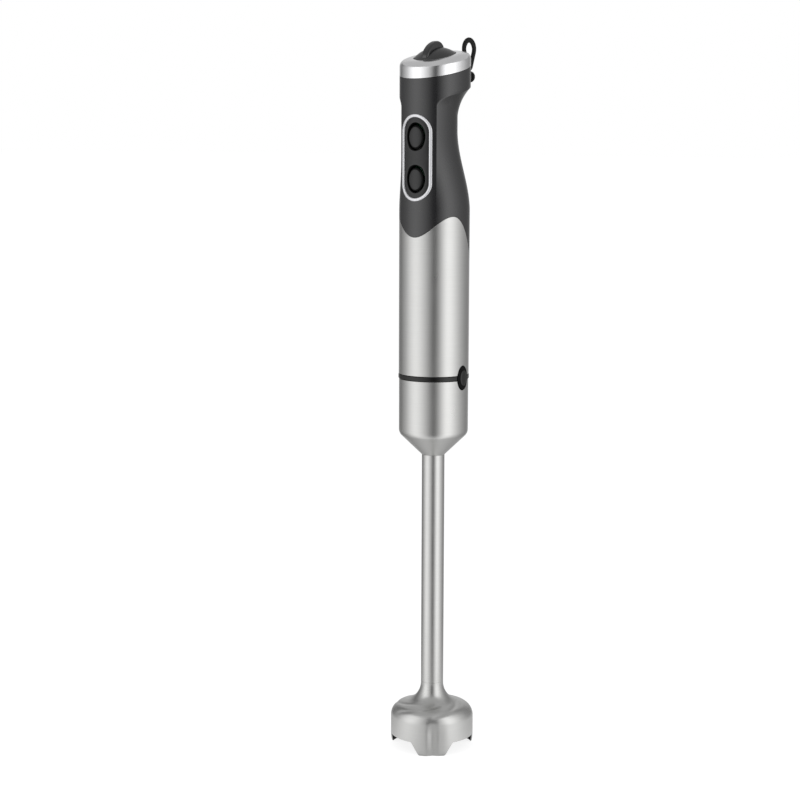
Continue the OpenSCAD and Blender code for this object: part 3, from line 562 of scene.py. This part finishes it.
def smooth(t):
    """Eases from 0 to 1 as t goes from 0 to 1."""
    t = min(1, max(0, t))
    return t * t * (3 - 2 * t)


def tilted(z, angle):
    """Height on the body of a plane that falls towards the front with the cap's tilt."""
    return z - BODY_R * cos(radians(angle)) * tan(TILT)


# ---- Blending leg ----

FOOT_TURN = 34
FOOT_PITCH = 120
FOOT_H = 8.8 * MM
FOOT_ROOT = 30.5
FOOT_SOLE = 18.5
SHOULDER_R = 9 * MM
FLARE_R = 14 * MM
BELL_SIDE = 21.5 * MM
BELL_SLOPE = radians(18)


def from_foot(angle):
    """Signed angle from the middle of the nearest foot."""
    return (angle - FOOT_TURN + FOOT_PITCH / 2) % FOOT_PITCH - FOOT_PITCH / 2


def foot_edge(angle):
    """Height of the bell's lower edge: soles on the floor, gaps between them."""
    t = (abs(from_foot(angle)) - FOOT_SOLE) / (FOOT_ROOT - FOOT_SOLE)
    ease = 0.13
    if t <= -ease:
        return 0.0
    if t < ease:
        return FOOT_H * (t + ease) ** 2 / (4 * ease)
    if t <= 1 - ease:
        return FOOT_H * t
    if t < 1 + ease:
        return FOOT_H * (1 - (1 + ease - t) ** 2 / (4 * ease))
    return FOOT_H


# Slopes across a foot's flute, as (mm deeper, degree it starts at, degrees it takes).
FLUTE_SLOPES = [(1.4, -9, 10), (-0.9, 1, 10), (-0.5, 10, 14)]
FLUTE_FADE_Z, FLUTE_FADE_H = 15 * MM, 12 * MM


def flute(angle, z):
    """Depth at a foot's flute: a steep side that faces right, then a slower way back out."""
    turn = from_foot(angle)
    across = sum(deeper * smooth((turn - start) / width) for deeper, start, width in FLUTE_SLOPES)
    return across * MM * (1 - smooth((z - FLUTE_FADE_Z) / FLUTE_FADE_H))


ARMS = 6
ARM_START = -7
ARM_LOW = 4.4 * MM
ARM_CLIMB = 0.16 * MM
ARM_END = 24 * MM
ARM_W = 1.7 * MM
ARM_DEPTH = 0.32 * MM
ARM_EASE = 14


def swirl(angle, along):
    """Depth of the creases that wind up over the shoulder; along is counted from its foot."""
    depth = 0.0
    first = (angle - FOOT_TURN - ARM_START) % (360 / ARMS)
    for turn in range(ARMS // 2):
        run = first + turn * 360 / ARMS
        across = (along - ARM_LOW - ARM_CLIMB * run) / ARM_W
        fade = smooth(run / ARM_EASE) * (1 - smooth((along - 0.6 * ARM_END) / (0.4 * ARM_END)))
        depth += ARM_DEPTH * fade * exp(-across * across)
    return depth


FLARE_MIDDLE_R = TUBE_R + FLARE_R
NECK_Z = (BELL_SIDE + SHOULDER_R * cos(BELL_SLOPE)
          + (BELL_R - SHOULDER_R + SHOULDER_R * sin(BELL_SLOPE) - TUBE_R - FLARE_R
             + FLARE_R * sin(BELL_SLOPE)) * tan(BELL_SLOPE) + FLARE_R * cos(BELL_SLOPE))
NECK_TOP = NECK_Z + 1 * MM
SHELL_WALL = 0.9 * MM
SIDE_ROWS = 18


def bell_profile():
    """Points of the bell: radius, height, slope outwards, length from the shoulder's foot."""
    points = [(BELL_R, BELL_SIDE * i / SIDE_ROWS, 0.0) for i in range(SIDE_ROWS)]
    top = pi / 2 - BELL_SLOPE
    points += [(BELL_R - SHOULDER_R + SHOULDER_R * cos(t), BELL_SIDE + SHOULDER_R * sin(t), t)
               for t in [top * i / 30 for i in range(31)]]
    flare = [(FLARE_MIDDLE_R - FLARE_R * cos(t), NECK_Z - FLARE_R * sin(t), t)
             for t in [top * (1 - i / 26) for i in range(27)]]
    r0, z0, r1, z1 = *points[-1][:2], *flare[0][:2]
    points += [(r0 + (r1 - r0) * i / 10, z0 + (z1 - z0) * i / 10, top) for i in range(1, 10)]
    points += flare + [(TUBE_R, NECK_TOP, 0.0)]
    rows, length = [], 0.0
    for i, (r, z, slope) in enumerate(points):
        if i > SIDE_ROWS:
            length += hypot(r - points[i - 1][0], z - points[i - 1][1])
        rows.append((r, z, slope, length))
    return rows


def bell_guard():
    """The bell with its feet, flutes and creases, matt black on its inner face."""
    rows = bell_profile()
    bm = spun([(1, i) for i in range(len(rows))], steps=320)
    for v in bm.verts:
        angle = angle_of(v.co)
        radius, z, slope, length = rows[round(v.co.z)]
        low = foot_edge(angle)
        if z < BELL_SIDE:
            z = low + (BELL_SIDE - low) * z / BELL_SIDE
        crease = swirl(angle, length) if length else 0.0
        dent = flute(angle, z) if radius > 0.6 * BELL_R else 0.0
        v.co = on_body(radius - dent - crease * cos(slope), angle, z - crease * sin(slope))
    obj = piece("bell_shell", bm, "leg", "steel", ["bell_guard"])
    obj.data.materials.append(BLACK_INSIDE_PAINTED_SHADE)
    walled(obj, SHELL_WALL, 0.3 * MM, 3).modifiers["wall"].material_offset = 1


def shaft_tube():
    """The tube, from just above the bell's neck up to the collar."""
    low, inner = NECK_TOP + 0.01 * MM, TUBE_R - SHELL_WALL
    profile = [(TUBE_R, low), (TUBE_R, TUBE_TOP), (inner, TUBE_TOP), (inner, low)]
    piece("tube_skin", spun(profile, closed=True), "leg", "steel", ["shaft_tube"])


NOTCH_CLEAR = 0.4 * MM
RING_NOTCH_CLEAR = 0.85 * MM


def over_release(angle, clear=NOTCH_CLEAR):
    """Half the height of a release button's notch at an angle round the body."""
    off = (abs(angle) - 90) * pi / 180 * BODY_R
    t = 1 - (off / (RELEASE_W / 2 + clear)) ** 2
    return (RELEASE_L / 2 + clear) * sqrt(t) if t > 0 else 0.0


COLLAR_SIDE = 35 * MM
COLLAR_EDGE_R = 6 * MM


def foot_collar():
    """The leg's collar: a cone, a rounded edge, and a side notched for the release buttons."""
    cone_top = COLLAR_TOP - COLLAR_SIDE
    middle = COLLAR_R - COLLAR_EDGE_R
    edge = [(middle + COLLAR_EDGE_R * cos(t), cone_top + COLLAR_EDGE_R * sin(t))
            for t in [-pi / 4 * (1 - i / 10) for i in range(11)]]
    outline = [(TUBE_R + 0.05 * MM, TUBE_TOP)] + edge + [(COLLAR_R, COLLAR_TOP)]
    bm = spun(even(outline, 2 * MM), steps=288)
    for v in bm.verts:
        angle, z = angle_of(v.co), v.co.z
        if z > cone_top + 0.1 * MM:
            cut = over_release(angle)
            top = min(COLLAR_TOP, JOINT_Z - cut) if cut else COLLAR_TOP
            z = cone_top + (top - cone_top) * (z - cone_top) / (COLLAR_TOP - cone_top)
        v.co.z = z
    obj = piece("collar_skin", bm, "leg", "steel", ["foot_collar"])
    walled(obj, SHELL_WALL, 0.25 * MM, 3)


RING_INNER_R = 15.2 * MM
NOTCH_FLOOR_R = 17.4 * MM


def joint_ring():
    """The black ring; behind each release button it shrinks to a narrow hoop."""
    profile = rounded([(RING_INNER_R, RING_LOW), (RING_R, RING_LOW), (RING_R, RING_HIGH),
                       (RING_INNER_R, RING_HIGH)], {1: 0.5 * MM, 2: 0.5 * MM})
    bm = spun(profile, steps=576, closed=True)
    for v in bm.verts:
        angle, radius = angle_of(v.co), hypot(v.co.x, v.co.y)
        if over_release(angle, RING_NOTCH_CLEAR) and radius > NOTCH_FLOOR_R:
            v.co = on_body(NOTCH_FLOOR_R + (radius - NOTCH_FLOOR_R) * 0.02, angle, v.co.z)
    piece("joint_band", bm, "motor_unit", "black_rubber", ["joint_ring"], finish=JOINT_BLACK)


# ---- Sleeve and grip ----

WAVE_PEAK_ANGLE = 66
WAVE_FALL_ANGLE = 100
SLEEVE_WALL = 0.8 * MM


def wave_z(angle):
    """Height of the sleeve's wavy upper edge."""
    turn = abs(angle)
    if turn < WAVE_PEAK_ANGLE:
        return WAVE_FRONT + (WAVE_PEAK - WAVE_FRONT) * (1 - cos(pi * turn / WAVE_PEAK_ANGLE)) / 2
    fall = min(1, (turn - WAVE_PEAK_ANGLE) / WAVE_FALL_ANGLE)
    return WAVE_PEAK - (WAVE_PEAK - WAVE_REAR) * (1 - cos(pi * fall)) / 2


def steel_sleeve():
    """The sleeve, from its notches for the release buttons up to its wavy edge."""
    bm = spun([(BODY_R, i / 24) for i in range(25)], steps=360)
    for v in bm.verts:
        angle = angle_of(v.co)
        low = max(SLEEVE_LOW, JOINT_Z + over_release(angle))
        v.co = on_body(BODY_R, angle, low + (wave_z(angle) - low) * v.co.z)
    obj = piece("sleeve_skin", bm, "motor_unit", "steel", ["steel_sleeve"])
    walled(obj, SLEEVE_WALL, 0.2 * MM, 2)


SCOOP_DEPTH = 9.1 * MM
SCOOP_CORNER = 6 * MM
SCOOP_BLEND = 30 * MM
SCOOP_SIDE = 55 * MM
SCOOP_RUNOUT = 54 * MM


def scoop(angle, z):
    """Depth of the finger scoop that runs round the sides and the rear."""
    side = max(0, abs(angle) - STRIP_ANGLE) * pi / 180 * BODY_R * SCOOP_BLEND / SCOOP_SIDE
    down = max(0, tilted(SHELF_Z, angle) - z)
    if side < SCOOP_CORNER and down < SCOOP_CORNER:
        inside = SCOOP_CORNER - hypot(SCOOP_CORNER - side, SCOOP_CORNER - down)
    else:
        inside = min(side, down)
    t = min(1, max(0, inside) / SCOOP_BLEND)
    return SCOOP_DEPTH * (1 - (1 - t) ** 3) * smooth((z - SCOOP_LOW) / SCOOP_RUNOUT)


def grip_rows(angle):
    """Heights of the grip's rows, close together under the head."""
    shelf = tilted(SHELF_Z, angle)
    low, top = wave_z(angle) + GAP, tilted(CAP_Z, angle) - GAP
    rows = [low + (SCOOP_LOW - low) * i / 6 for i in range(6)]
    rows += [shelf - (shelf - SCOOP_LOW) * (1 - i / 70) ** 1.5 for i in range(71)]
    return rows + [shelf + (top - shelf) * i / 6 for i in range(1, 7)]


ROW_COUNT = len(grip_rows(0))


def grip_surface(start, sweep, steps):
    """A stretch of the grip's outer surface, from one angle round by the sweep."""
    bm = spun([(BODY_R, i * MM) for i in range(ROW_COUNT)], steps, start, sweep)
    for v in bm.verts:
        angle = angle_of(v.co)
        z = grip_rows(angle)[round(v.co.z / MM)]
        v.co = on_body(BODY_R - scoop(angle, z), angle, z)
    return bm


def cut_hole(bm, outside, snap):
    """Opens a hole and puts its rim on the wanted line."""
    gone = [f for f in bm.faces if not outside(f.calc_center_median())]
    bmesh.ops.delete(bm, geom=gone, context="FACES")
    for v in bm.verts:
        if v.is_boundary:
            v.co = snap(v.co) or v.co


PANEL_W = 23.8 * MM
PANEL_L = 57.4 * MM
PANEL_REACH = (PANEL_L - PANEL_W) / 2
BEZEL_BAND = 1.9 * MM
PANEL_HOLE = PANEL_W / 2 - BEZEL_BAND / 2
GRIP_WALL = 1.8 * MM
GLAND_HOLE = 3.9 * MM


def panel_spine(up):
    """Nearest height on the panel's middle line, between the centres of its round ends."""
    return max(-PANEL_REACH, min(PANEL_REACH, up))


def from_panel(co):
    """Distance of a point of the front outside the panel's hole."""
    up = co.z - PANEL_Z
    return hypot(co.x, up - panel_spine(up)) - PANEL_HOLE


def snap_to_panel(co):
    """Moves a point near the panel's hole onto its line."""
    if co.y > 0 or abs(from_panel(co)) > 2 * MM:
        return None
    middle = panel_spine(co.z - PANEL_Z)
    out = Vector((co.x, co.z - PANEL_Z - middle)).normalized() * PANEL_HOLE
    return Vector((out.x, -sqrt(BODY_R ** 2 - out.x ** 2), PANEL_Z + middle + out.y))


def snap_to_gland(co):
    """Moves a point near the gland's hole onto its line."""
    off = Vector((co.x, co.z - GLAND_Z))
    if co.y < 0 or off.length > 2 * GLAND_HOLE:
        return None
    off = off.normalized() * GLAND_HOLE
    return Vector((off.x, sqrt(BODY_R ** 2 - off.x ** 2), GLAND_Z + off.y))


def grip():
    """The front strip with the panel's hole, and the rear shell with the gland's."""
    edge = STRIP_ANGLE + SEAM_ANGLE
    front = grip_surface(-STRIP_ANGLE, 2 * STRIP_ANGLE, 48)
    rear = grip_surface(edge, 360 - 2 * edge, 224)
    cut_hole(front, lambda co: from_panel(co) > 0, snap_to_panel)
    cut_hole(rear, lambda co: co.y < 0 or hypot(co.x, co.z - GLAND_Z) > GLAND_HOLE, snap_to_gland)
    for side, bm in (("front", front), ("rear", rear)):
        obj = piece("grip_" + side, bm, "motor_unit", "soft_grip", ["handle_" + side], sharp=50)
        walled(obj, GRIP_WALL, 0.05 * MM, 1)


# ---- Buttons ----

def bridged(loops):
    """Joins outlines of equal count, one after the other and back to the first, into a skin."""
    count = len(loops[0])
    bm = spun([(1, i) for i in range(len(loops))], steps=count, closed=True)
    for v in bm.verts:
        v.co = Vector(loops[round(v.co.z)][round(angle_of(v.co) / 360 * count) % count])
    bmesh.ops.recalc_face_normals(bm, faces=bm.faces)
    return bm


def wrapped(bm, turn, z):
    """Bends a flat shape (x across, y up, z outwards) round the body."""
    for v in bm.verts:
        side = degrees(asin(v.co.x / BODY_R))
        v.co = on_body(BODY_R + v.co.z, side + turn, z + v.co.y)
    return bm


def stadium(half, straight=24, arc=48):
    """An outline with the panel's long sides and two round ends, half its width given."""
    points = [(half, PANEL_REACH * (2 * i / straight - 1)) for i in range(straight)]
    points += [(half * cos(t), PANEL_REACH + half * sin(t)) for t in [pi * i / arc for i in range(arc)]]
    return points + [(-x, -y) for x, y in points]


def button_bezel():
    """The bezel's section, as (mm inwards from its outline, mm above the body), led round."""
    band = BEZEL_BAND / MM
    lip = band - 0.7
    section = [(0, 0.05), (0, 0.25), (0.1, 0.42), (0.35, 0.54), (0.8, 0.6), (band - 0.8, 0.6),
               (band - 0.35, 0.54), (band - 0.1, 0.4), (band, 0.2), (band, -0.45), (lip, -0.45),
               (lip, 0.05)]
    loops = [[(x, y, height * MM) for x, y in stadium(PANEL_W / 2 - inset * MM)]
             for inset, height in section]
    bm = wrapped(bridged(loops), 0, PANEL_Z)
    piece("bezel_band", bm, "motor_unit", "bright_trim", ["button_bezel"], finish=SILVERED)


BUTTON_W, BUTTON_L = 12.2 * MM, 15.6 * MM
BUTTON_GAP = 1.2 * MM
BUTTON_PITCH = mid("high_button", 2) - mid("low_button", 2)
WELL_ROWS = 4


def to_panel_edge(x, y, dx, dy):
    """Distance from a point of one half of the panel to that half's edge."""
    near, far = 0.0, PANEL_L
    for _ in range(40):
        t = (near + far) / 2
        px, py = x + dx * t, y + dy * t
        if hypot(px, py - panel_spine(py)) < PANEL_HOLE - GAP and py * y > 0:
            near = t
        else:
            far = t
    return near


def button_panel():
    """Two halves, each a skin from a button's well out to the bezel.

    The section's points are (share of the way to the bezel, mm above the body).
    """
    section = [(0, -2.3), (0, -1.15), (0.02, -0.85), (0.05, -0.66), (0.1, -0.54), (0.2, -0.47),
               (0.35, -0.44), (0.6, -0.47), (0.8, -0.54), (1, -0.62)]
    bm = spun([(1, i) for i in range(len(section))])
    # The well's wall and lip take the matt black second material: painted shade in the gap round each
    # button.
    for f in bm.faces:
        f.material_index = int(f.calc_center_median().z < WELL_ROWS)
    for v in bm.verts:
        share, height = section[round(v.co.z)]
        x, y = v.co.x, v.co.y
        well_x = (BUTTON_W / 2 + BUTTON_GAP) * x
        well_y = BUTTON_PITCH / 2 + (BUTTON_L / 2 + BUTTON_GAP) * y
        far = to_panel_edge(well_x, well_y, x, y) * share
        v.co = Vector((well_x + far * x, well_y + far * y, height * MM))
    bm.normal_update()
    if sum(f.normal.z * f.calc_area() for f in bm.faces) < 0:
        bmesh.ops.reverse_faces(bm, faces=bm.faces)
    made = bmesh.ops.duplicate(bm, geom=bm.verts[:] + bm.edges[:] + bm.faces[:])["geom"]
    bmesh.ops.scale(bm, vec=(1, -1, 1), verts=[v for v in made if isinstance(v, bmesh.types.BMVert)])
    bmesh.ops.reverse_faces(bm, faces=[f for f in made if isinstance(f, bmesh.types.BMFace)])
    bmesh.ops.remove_doubles(bm, verts=bm.verts, dist=0.02 * MM)
    obj = piece("panel_face", wrapped(bm, 0, PANEL_Z), "motor_unit", "gloss_black",
                ["button_panel"], sharp=60)
    obj.data.materials.append(BLACK_INSIDE_PAINTED_SHADE)
    walled(obj, 0.9 * MM, 0.1 * MM, 1)


def oval_cap(section, width, length, turn, z, painted_shade_below=-0.5):
    """An oval button from a section of (share of its width, mm above the body) points.

    Its sides below the given height take the piece's second material, matt black: painted shade on its
    flanks.
    """
    bm = spun([(share, height * MM) for share, height in section], steps=96)
    bmesh.ops.scale(bm, vec=(width / 2, length / 2, 1), verts=bm.verts)
    for f in bm.faces:
        f.material_index = int(f.calc_center_median().z < painted_shade_below * MM)
    return wrapped(bm, turn, z)


def buttons():
    """Two push buttons, domed, and two release buttons, each with a rim and a raised middle."""
    domed = [(0, -2.9), (1, -2.9), (1, -1.45), (0.99, -1.2), (0.965, -0.98), (0.92, -0.76),
             (0.85, -0.55), (0.75, -0.37), (0.62, -0.22), (0.45, -0.1), (0.25, -0.03),
             (0.08, -0.01), (0, 0)]
    for name, node in (("high_cap", "high_button"), ("low_cap", "low_button")):
        bm = oval_cap(domed, BUTTON_W, BUTTON_L, 0, mid(node, 2))
        obj = piece(name, bm, node + "_body", "gloss_black", [node], sharp=60)
        # The matt black second material paints shade on the cap's flanks.
        obj.data.materials.append(BLACK_INSIDE_PAINTED_SHADE)
    proud = (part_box("release_button_right")[1].x - BODY_R) / MM
    drops = [(1, 0.95), (0.985, 0.8), (0.95, 0.7), (0.9, 0.66), (0.84, 0.7), (0.8, 0.95),
             (0.75, 1.0), (0.71, 0.75), (0.66, 0.42), (0.6, 0.22), (0.45, 0.08), (0.25, 0.01),
             (0.08, 0), (0, 0)]
    rimmed = [(0, -2.9), (1, -2.9)] + [(share, proud - drop) for share, drop in drops]
    for name, turn in (("right", 90), ("left", -90)):
        bm = oval_cap(rimmed, RELEASE_W, RELEASE_L, turn, JOINT_Z, proud - 0.5)
        obj = piece("release_cap_" + name, bm, "release_" + name + "_body", "black_rubber",
                    ["release_button_" + name], sharp=60, finish=JOINT_BLACK)
        # The matt black second material paints shade on the cap's flanks and rim.
        obj.data.materials.append(BLACK_INSIDE_PAINTED_SHADE)


# ---- Cap and dial ----

CAP_FRAME = Matrix.Translation((0, 0, CAP_Z)) @ Matrix.Rotation(TILT, 4, "X")
DIAL_FRAME = CAP_FRAME @ Matrix.Translation((0, DIAL_SHIFT, 0))
CAP_LEAN_ROOM = 0.2 * MM
CAP_REACH = BODY_R + CAP_LEAN_ROOM
CAP_WALL_H = 6.7 * MM
CAP_ROUND = 2.4 * MM
DIAL_RISE = 5.2 * MM
DIAL_CLEAR = 0.4 * MM
DIAL_HOLE = DIAL_R + DIAL_CLEAR


def cap_top(x, y):
    """Height of the cap's crown in the cap's own frame."""
    flat = DIAL_R + GAP
    t = min(1, max(0, (hypot(x, y) - flat) / (CAP_REACH - flat)))
    return CAP_WALL_H + (CAP_H - CAP_WALL_H) * sqrt(1 - t * t)


def cap_column(angle):
    """Points of the cap at one angle: up the wall, over the shoulder, in to the dial's hole."""
    foot = on_body(BODY_R, angle, tilted(CAP_Z, angle))
    back = CAP_FRAME.inverted()
    low, high = 0.0, 2 * CAP_H
    for _ in range(30):
        t = (low + high) / 2
        probe = back @ (foot + Vector((0, 0, t)))
        low, high = (t, high) if probe.z < cap_top(probe.x, probe.y) else (low, t)
    edge = back @ (foot + Vector((0, 0, low)))
    turn = radians(angle)
    rim = Vector((DIAL_HOLE * sin(turn), DIAL_SHIFT - DIAL_HOLE * cos(turn)))

    def crown(share):
        at = edge.xy.lerp(rim, share)
        return CAP_FRAME @ Vector((at.x, at.y, cap_top(at.x, at.y)))

    share = CAP_ROUND / (edge.xy - rim).length
    below, corner_at, inside = foot + Vector((0, 0, low - CAP_ROUND)), crown(0), crown(share)
    points = [foot.lerp(below, i / 4) for i in range(4)]
    for i in range(11):
        t = i / 10
        points.append(below.lerp(corner_at, t).lerp(corner_at.lerp(inside, t), t))
    points += [crown(share + (1 - share) * i / 14) for i in range(1, 15)]
    for drop in (0.9, 1.8):
        points.append(CAP_FRAME @ Vector((rim.x, rim.y, CAP_H - drop * MM)))
    return points


def cap_ring():
    """The bright cap, from the grip up over its shoulder to the dial's hole."""
    bm = spun([(1, i) for i in range(len(cap_column(0)))], steps=240)
    for v in bm.verts:
        v.co = cap_column(angle_of(v.co))[round(v.co.z)]
    bmesh.ops.recalc_face_normals(bm, faces=bm.faces)
    if sum(f.normal.dot(f.calc_center_median() - Vector((0, 0, CAP_Z))) for f in bm.faces) < 0:
        bmesh.ops.reverse_faces(bm, faces=bm.faces)
    sharp = [e for e in bm.edges if len(e.link_faces) == 2 and e.calc_face_angle(0) > radians(50)]
    bevelled(bm, sharp, 0.35 * MM, 3)
    obj = piece("cap_plate_ring", bm, "motor_unit", "bright_trim", ["cap_ring"], sharp=60)
    walled(obj, 1.2 * MM, 0.06 * MM, 1)


DIAL_SKIRT = 4.8 * MM
FIN_FRONT, FIN_REAR, FIN_PEAK = -12.8 * MM, 9.6 * MM, 1.4 * MM
FIN_H, FIN_W = 9.2 * MM, 5.4 * MM


def dial_dome():
    """The dial's low dome, sunk a little way into the cap."""
    dome_r = (DIAL_R ** 2 + DIAL_RISE ** 2) / (2 * DIAL_RISE)
    reach = asin(DIAL_R / dome_r)
    dome = [(dome_r * sin(t), CAP_H + DIAL_RISE - dome_r + dome_r * cos(t))
            for t in [reach * i / 24 for i in range(25)]]
    profile = [(0, CAP_H - DIAL_SKIRT), (DIAL_R, CAP_H - DIAL_SKIRT)] + dome[::-1]
    profile = corner(profile, 2, 0.6 * MM)
    bm = spun(profile, steps=144)
    bmesh.ops.transform(bm, matrix=DIAL_FRAME, verts=bm.verts)
    piece("dial_dome", bm, "dial", "dial_plastic", ["speed_dial"], sharp=50)


def dial_fin():
    """The dial's finger grip: an arch that is steep to the rear and long to the front."""
    outline = []
    for i in range(41):
        t = pi * i / 40
        reach, power = (FIN_REAR - FIN_PEAK, 0.8) if t < pi / 2 else (FIN_PEAK - FIN_FRONT, 1.1)
        outline.append((FIN_PEAK + reach * cos(t), CAP_H + FIN_H * sin(t) ** power))
    bm = bmesh.new()
    arch = bm.faces.new([bm.verts.new((-FIN_W / 2, y, z)) for y, z in outline])
    made = bmesh.ops.extrude_face_region(bm, geom=[arch])["geom"]
    moved = [v for v in made if isinstance(v, bmesh.types.BMVert)]
    bmesh.ops.translate(bm, vec=(FIN_W, 0, 0), verts=moved)
    rims = [e for e in bm.edges if abs(e.verts[0].co.x - e.verts[1].co.x) < 1e-7
            and max(v.co.z for v in e.verts) > CAP_H + 0.01 * MM]
    bevelled(bm, rims, 1.6 * MM, 6)
    bmesh.ops.recalc_face_normals(bm, faces=bm.faces)
    bmesh.ops.transform(bm, matrix=DIAL_FRAME, verts=bm.verts)
    piece("dial_grip", bm, "dial", "dial_plastic", sharp=50)


# ---- Cord gland and hanging loop ----

GLAND_BORE_R, GLAND_R, GLAND_RIB_R = 2.6 * MM, 3.1 * MM, 3.8 * MM
GLAND_SEAT = BODY_R + 1.4 * MM
RIB_L, RIB_GAP = 2.2 * MM, 1.4 * MM


def cord_gland():
    """A sleeve with ribs round it, counted back from its open end."""
    low, end = (point.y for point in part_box("cord_gland"))
    points = [(GLAND_BORE_R, low), (GLAND_RIB_R, low), (GLAND_RIB_R, GLAND_SEAT),
              (GLAND_R, GLAND_SEAT)]
    radii = {1: 0.3 * MM, 2: 0.5 * MM}
    ribs = [end - RIB_L]
    while ribs[-1] - RIB_L - RIB_GAP > GLAND_SEAT + RIB_GAP:
        ribs.append(ribs[-1] - RIB_L - RIB_GAP)
    for start in reversed(ribs):
        radii[len(points) + 1] = radii[len(points) + 2] = 0.35 * MM
        points += [(GLAND_R, start), (GLAND_RIB_R, start), (GLAND_RIB_R, start + RIB_L)]
        if start != ribs[0]:
            points.append((GLAND_R, start + RIB_L))
    points.append((GLAND_BORE_R, end))
    bm = spun(rounded(points, radii), steps=96, closed=True)
    bmesh.ops.rotate(bm, matrix=Matrix.Rotation(-pi / 2, 3, "X"), verts=bm.verts)
    bmesh.ops.translate(bm, vec=(0, 0, GLAND_Z), verts=bm.verts)
    piece("gland_sleeve", bm, "motor_unit", "black_rubber", ["cord_gland"], sharp=35)


def hanging_loop():
    """A smooth bar round a teardrop, thicker over its top."""
    low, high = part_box("hanging_loop")
    bar = (high.x - low.x) / 2
    top_r = (high.y - low.y) / 2 - bar
    foot_r = 2.3 * MM
    middle = mid("hanging_loop", 1)
    top, foot = high.z - bar - top_r, low.z + bar + foot_r
    lean = asin((top_r - foot_r) / (top - foot))
    path = [(top, top_r, -lean + (pi + 2 * lean) * i / 40) for i in range(41)]
    path += [(foot, foot_r, pi + lean + (pi - 2 * lean) * i / 16) for i in range(17)]
    loops = []
    for z, r, t in path:
        thicker = 0.6 * MM * smooth(sin(t) * 1.5) if z == top else 0
        ring = []
        for k in range(20):
            b = 2 * pi * k / 20
            out = r + bar * cos(b) + thicker * min(0, cos(b))
            ring.append((bar * sin(b), middle + out * cos(t), z + out * sin(t)))
        loops.append(ring)
    piece("loop_bar", bridged(loops), "motor_unit", "black_rubber", ["hanging_loop"], sharp=60)


gloss_room()
bell_guard()
shaft_tube()
foot_collar()
joint_ring()
steel_sleeve()
grip()
button_bezel()
button_panel()
buttons()
cap_ring()
dial_dome()
dial_fin()
cord_gland()
hanging_loop()
